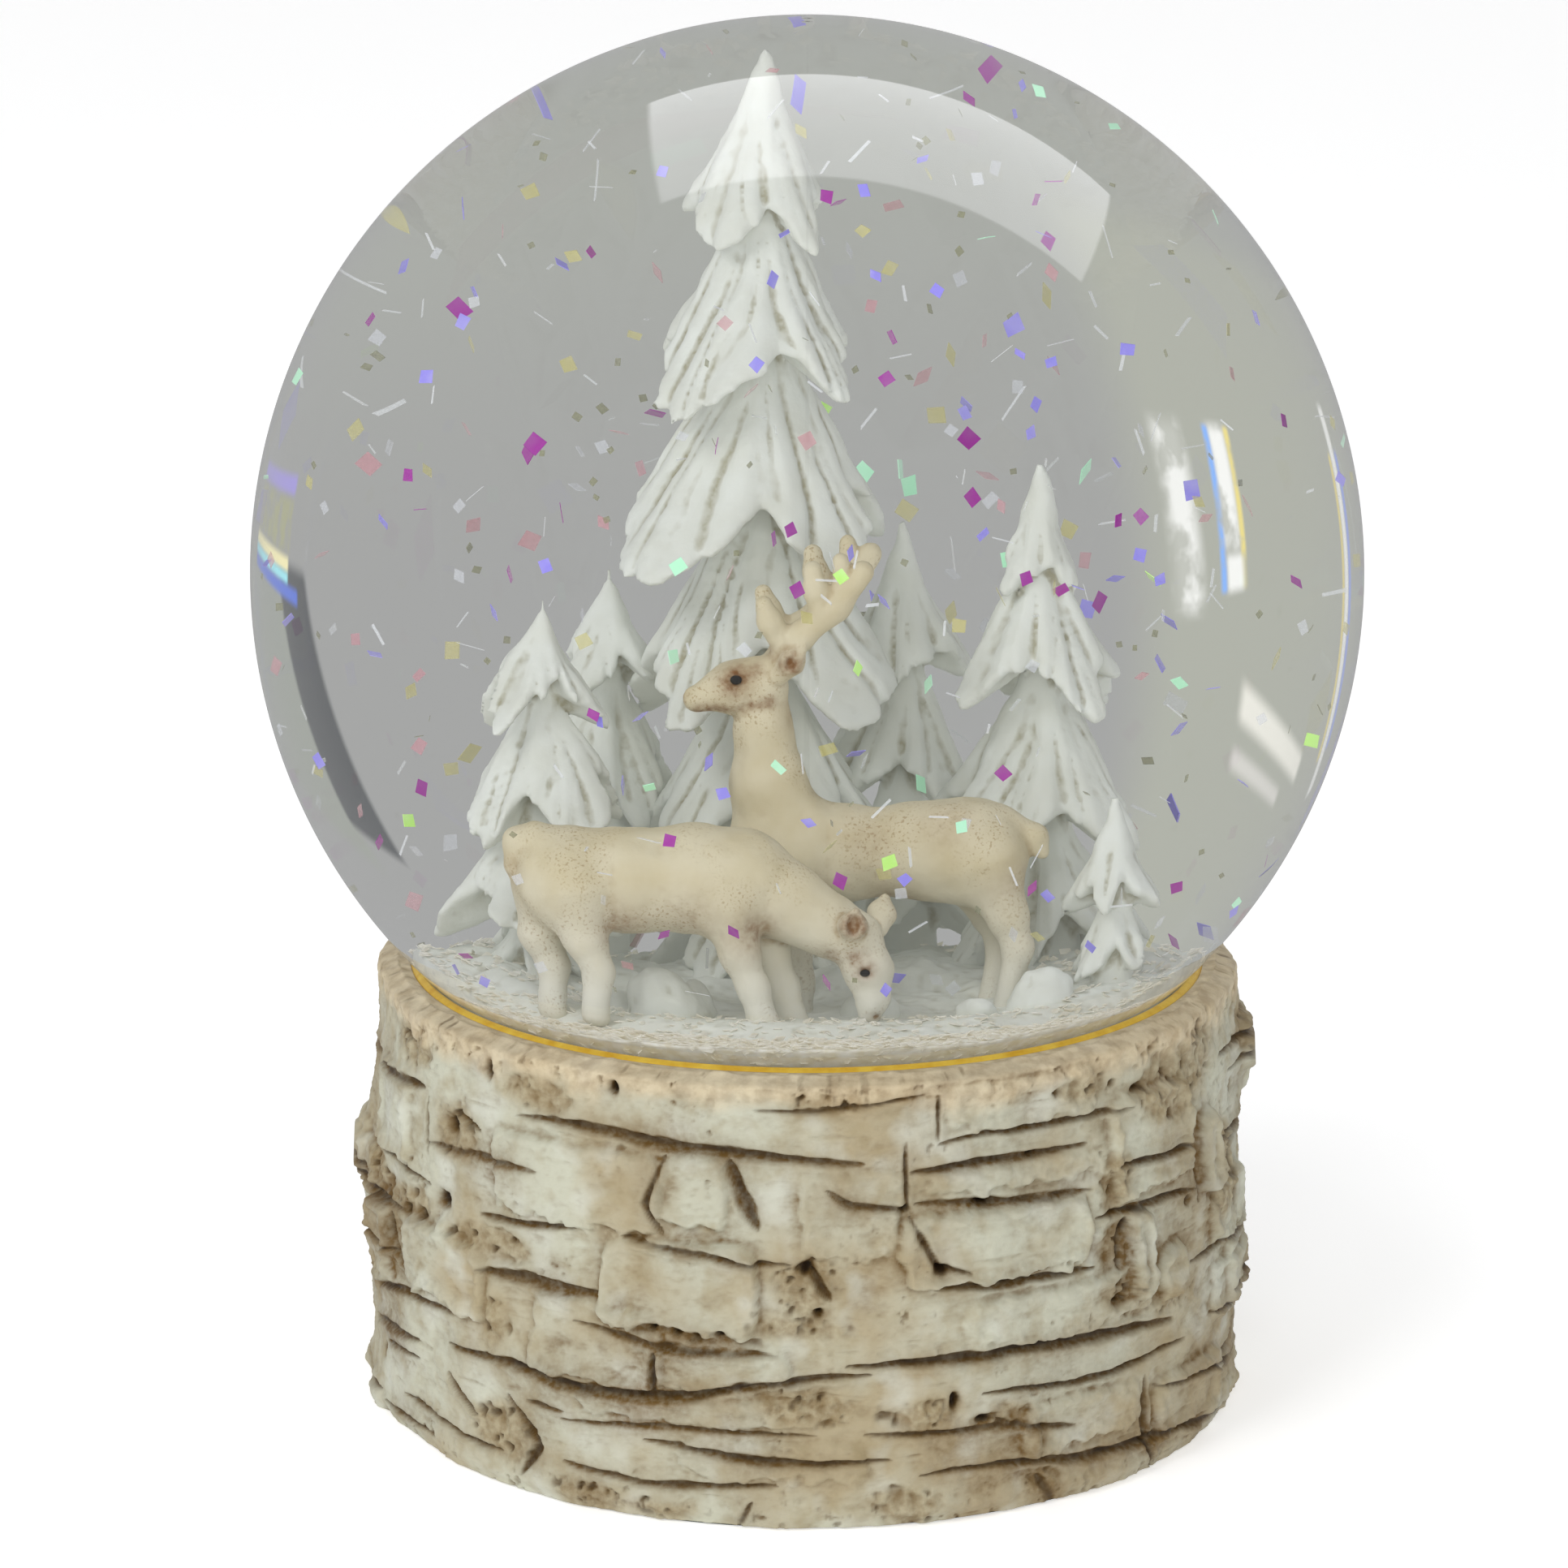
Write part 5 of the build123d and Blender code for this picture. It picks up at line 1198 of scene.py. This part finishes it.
# ---- CAD pieces that are kept as they are ---------------------------------------------------
def dress_cad():
    steel = metal("zinc_steel", rgb(190, 192, 196), 0.3, (1, 1, 6))
    nickel = metal("nickel_plate", rgb(206, 205, 200), 0.16)
    zinc = metal("movement_zinc", rgb(172, 172, 170), 0.42, grain_mm=0.9)
    brass = metal("movement_brass", rgb(214, 176, 96), 0.26, (6, 1, 1))
    blued = metal("spring_steel", rgb(108, 116, 132), 0.3, (1, 6, 1))
    nylon = moulded("nylon", rgb(226, 224, 214), 0.45)
    black = moulded("cover_plastic", rgb(24, 24, 26), 0.5, 0.5, 0.06)
    rubber = moulded("black_rubber", rgb(20, 20, 20), 0.7)
    silicone = moulded("silicone", rgb(214, 214, 208), 0.4)
    finishes = {
        "zinc_steel": steel, "nickel_plate": nickel, "movement_zinc": zinc, "movement_brass": brass,
        "spring_steel": blued, "nylon": nylon, "cover_plastic": black, "black_rubber": rubber,
        "silicone": silicone, "felt": felt(),
    }
    for entry in frame["record"]["subparts"]:
        material = finishes.get(entry["material_slot"])
        if material:
            mesh = frame["nodes"][entry["node"]].data
            mesh.materials.clear()
            mesh.materials.append(material)


# ---- studio ---------------------------------------------------------------------------------
def soft_box(name, spot, target, size, power):
    """A lamp that lights matt surfaces only; what shines in the glass is in the studio's air."""
    lamp = bpy.data.lights.new(name, "AREA")
    lamp.shape = "RECTANGLE"
    lamp.size, lamp.size_y = size
    lamp.energy = power
    holder = bpy.data.objects.new(name, lamp)
    holder.location = spot
    holder.rotation_euler = (Vector(target) - Vector(spot)).to_track_quat("-Z", "Y").to_euler()
    holder.visible_camera = False
    holder.visible_glossy = False
    holder.visible_transmission = False
    bpy.context.scene.collection.objects.link(holder)


def studio_air():
    """The room around: even light, a soft panel behind and above, dim and bright cards to the sides."""
    world = bpy.data.worlds.new("studio_air")
    world.use_nodes = True
    tree = world.node_tree
    bpy.context.scene.world = world

    def node(kind, links=(), **settings):
        return add_node(tree, kind, links, **settings).outputs[0]

    def sum_of(operation, a, b=0.0):
        return node("ShaderNodeMath", [(0, a), (1, b)], operation=operation)

    way = tree.nodes.new("ShaderNodeTexCoord").outputs["Generated"]
    split = add_node(tree, "ShaderNodeSeparateXYZ", [("Vector", way)]).outputs
    round_about = sum_of("DEGREES", sum_of("ARCTAN2", split["X"], split["Y"]))
    height = sum_of("DEGREES", sum_of("ARCSINE", split["Z"]))

    def ramp(value, low, high, soft):
        links = [("Value", value), ("From Min", low - soft), ("From Max", low + soft)]
        rise = node("ShaderNodeMapRange", links, interpolation_type="SMOOTHSTEP")
        links = [("Value", value), ("From Min", high + soft), ("From Max", high - soft)]
        fall = node("ShaderNodeMapRange", links, interpolation_type="SMOOTHSTEP")
        return sum_of("MULTIPLY", rise, fall)

    texture = node("ShaderNodeTexNoise", [("Vector", way), ("Scale", 26.0), ("Detail", 3.0)])
    links = [("Value", texture), ("From Min", 0.40), ("From Max", 0.56), ("To Min", 0.25)]
    broken = node("ShaderNodeMapRange", links)

    def zone(turn_low, turn_high, low, high, soft, lean=0.0, climb=0.0, patchy=False):
        """A soft-edged card between two turns and two heights. lean slants its sides, climb its top and foot."""
        slanted = sum_of("ADD", round_about, sum_of("MULTIPLY", height, lean))
        climbing = sum_of("ADD", height, sum_of("MULTIPLY", round_about, climb))
        card = sum_of("MULTIPLY", ramp(slanted, turn_low, turn_high, soft), ramp(climbing, low, high, soft))
        return sum_of("MULTIPLY", card, broken) if patchy else card

    path = tree.nodes.new("ShaderNodeLightPath").outputs
    seen_through = mixed_colour(tree, ramp(height, -24, 90, 14), (0.45, 0.46, 0.42, 1), (0.415, 0.415, 0.405, 1))
    # cards: turn from and to, height from and to, softness, lean, climb, broken up; then the colour
    for card, colour in (
        ((-80, -17, -35, 40, 3), (0.49, 0.50, 0.43, 1)),
        ((40, 72, -9, 12, 1.5, 0.5), (0.40, 0.42, 0.37, 1)),
        ((33.2, 41.5, -10, 9, 0.7, 0.5), (0.10, 0.105, 0.11, 1)),
        ((43, 60, -16.6, -15.2, 0.5), (0.45, 0.38, 0.90, 1)),
        ((43, 60, -14.8, -10.8, 0.6, 0, 0, True), (0.48, 0.48, 0.29, 1)),
        ((43, 60, -10.5, -9.4, 0.4), (1.20, 1.10, 0.60, 1)),
        ((43, 60, -9.4, -8.5, 0.4), (0.45, 1.05, 1.15, 1)),
        ((40, 60, -8.5, -7.4, 0.4), (0.12, 0.22, 0.85, 1)),
        ((-22.6, -20.2, -20, -10, 0.8, 0.06, 0, True), (1.05, 1.05, 1.0, 1)),
        ((-26.4, -24.4, -20, -13, 0.6, 0, 0, True), (1.1, 1.1, 1.05, 1)),
        ((-26.6, -24.6, -12.6, -10.6, 0.4), (1.1, 1.1, 1.05, 1)),
        ((-27.0, -26.4, -20, -10.6, 0.25, 0, 0, True), (1.0, 0.85, 0.30, 1)),
        ((-24.5, -23.9, -20, -10.6, 0.25, 0, 0, True), (0.30, 0.55, 1.1, 1)),
        ((-52.6, -50.6, -22, 12, 0.6), (1.1, 1.1, 1.05, 1)),
        ((-54.2, -52.8, -18, 8, 0.5), (0.35, 0.45, 1.0, 1)),
        ((-50.4, -49.4, -18, 8, 0.4), (0.95, 0.80, 0.30, 1)),
        ((-42, -27, -22.2, -19.8, 0.7, 0, 0.64), (1.0, 0.98, 0.88, 1)),
        ((-38, -27, -18.0, -16.6, 0.6, 0, 0.64), (0.8, 0.78, 0.72, 1)),
    ):
        seen_through = mixed_colour(tree, zone(*card), seen_through, colour)
    above = sum_of("MAXIMUM", split["Z"], 0.08)
    panel = sum_of("MULTIPLY", ramp(sum_of("DIVIDE", split["X"], above), -0.40, 0.95, 0.012),
                   ramp(sum_of("DIVIDE", split["Y"], above), 0.17, 0.98, 0.012))
    panel = sum_of("MULTIPLY", panel, ramp(height, 12, 91, 1))
    mirrored = mixed_colour(tree, panel, (0.45, 0.45, 0.45, 1), (3.2, 3.2, 3.3, 1))
    even = mixed_colour(tree, ramp(split["X"], -0.7, 3, 0.9), (0.51, 0.51, 0.52, 1), (0.60, 0.60, 0.60, 1))
    even = mixed_colour(tree, ramp(split["X"], 0.1, 3, 0.9), even, (0.46, 0.46, 0.46, 1))
    colour = mixed_colour(tree, path["Is Glossy Ray"], even, mirrored)
    colour = mixed_colour(tree, path["Is Transmission Ray"], colour, seen_through)
    colour = mixed_colour(tree, path["Is Camera Ray"], colour, (1.0, 1.0, 1.0, 1))
    tree.links.new(colour, tree.nodes["Background"].inputs["Color"])


def studio():
    studio_air()
    paper = Paint("studio_paper", Roughness=0.9, Emission_Color=(1, 1, 1, 1), Emission_Strength=0.42)
    paper.set("Base Color", paper.mix(paper.mottle(400), (0.88, 0.88, 0.88, 1), (0.9, 0.9, 0.9, 1)))
    below = paper.node("ShaderNodeNewGeometry").outputs["Backfacing"]
    hidden = paper.node("ShaderNodeBsdfTransparent").outputs[0]
    one_sided = paper.node("ShaderNodeMixShader", [(0, below), (1, paper.shader.outputs[0]), (2, hidden)])
    paper.tree.links.new(one_sided.outputs[0], paper.output.inputs["Surface"])
    side, drop = 2400, -0.02
    sheet = np.array([(-side, -side, drop), (side, -side, drop), (side, side, drop), (-side, side, drop)])
    floor = mesh_piece("studio_floor", sheet, np.array([(0, 1, 2, 3)]), paper.material, smooth=False)
    floor.visible_transmission = False
    floor.visible_glossy = False
    soft_box("key", (-0.85, -0.95, 1.15), (0, 0, 0.07), (0.6, 0.6), 9)
    soft_box("fill", (0.1, -1.3, 0.55), (0, 0, 0.06), (0.9, 0.6), 5)


def camera():
    """Level with the ball's lower half, looking a little down, framed as the object is seen."""
    lens = bpy.data.cameras.new("camera")
    lens.sensor_width = 36
    lens.lens = 127.2
    lens.clip_start = 0.05
    eye = bpy.data.objects.new("camera", lens)
    distance, rise = 0.5, math.radians(12.7)
    eye.location = (0, -distance * math.cos(rise), ball_z * MM + distance * math.sin(rise))
    eye.rotation_euler = (math.radians(90 - 14.87), 0, math.radians(0.243))
    bpy.context.scene.collection.objects.link(eye)
    bpy.context.scene.camera = eye


def deer():
    """The two animals with the brown brushed on their faces, ears, muzzles and bellies."""
    stag_piece, doe_piece = stag(), doe()
    for animal in (stag_piece, doe_piece):
        point_value(animal, "hollow", crease(animal))
    stain(stag_piece, [
        *((-4.9, -5.2 + 1.5 * side, 70.0, 1.15, 1.0) for side in (-1, 1)),
        *((-3.7, -5.2 + 1.5 * side, 70.7, 0.7, 0.7) for side in (-1, 1)),
        *((-1.2, -5 + 3.0 * side, 71.3, 0.9, 1.0) for side in (-1, 1)),
        *((-2.0, -5 + 1.2 * side, 71.9, 0.8, 0.7) for side in (-1, 1)),
        *((-7.4 + 0.6 * k, -5.3 + side * (0.68 + 0.08 * k), 67.75 + 0.08 * k, 0.5, 0.8)
          for k in range(9) for side in (-1, 1)),
        (-2.0, -5.0, 67.3, 1.2, 0.6), (-8.7, -5.4, 68.5, 0.5, 0.6), (6.0, -5, 54.4, 2.4, 0.45),
        (4.0, -7.6, 58.6, 2.2, 0.18), (13.6, -7.0, 56.0, 1.6, 0.5), (0.2, -7.2, 56.0, 1.3, 0.5),
        (2.2, -6.8, 75.6, 1.0, 0.4), (9.5, -8.0, 60.0, 2.2, 0.2),
    ])
    stain(doe_piece, [
        *((4.3, -16.9 + 1.7 * side, 50.3, 0.75, 0.8) for side in (-1, 1)),
        *((3.6, -16.9 + 1.7 * side, 51.3, 0.8, 0.6) for side in (-1, 1)),
        *((x, -16.7 + 3.2 * side, 54.0, 1.1, 1.0) for x, side in ((3.5, -1), (5.5, 1))),
        (-4.2, -18.6, 53.4, 1.9, 0.55), (-13.6, -18.4, 53.6, 1.9, 0.45), (5.0, -17.4, 46.6, 0.5, 0.6),
        (1.8, -17.8, 51.2, 1.1, 0.45), (-21.2, -15.6, 57.4, 1.2, 0.4), (-8.5, -19.4, 54.0, 2.4, 0.25),
    ])
    eyes("stag_eye", [(-4.9, -5.2 - 1.55, 70.0), (-4.9, -5.2 + 1.55, 70.0)], 0.42)
    eyes("doe_eye", [(4.3, -16.9 - 1.6, 50.1), (4.3, -16.9 + 1.6, 50.1)], 0.38)


def build():
    glass_ball()
    water()
    forest()
    deer()
    ground()
    stones()
    drift()
    solids = [o for o in bpy.data.objects if o.type == "MESH" and o.name.endswith(("_carved", "_rough", "_packed"))]
    glitter(solids)
    birch_base()
    trim_ring()
    dress_cad()
    studio()
    camera()


build()
bpy.context.scene.view_settings.view_transform = "Standard"
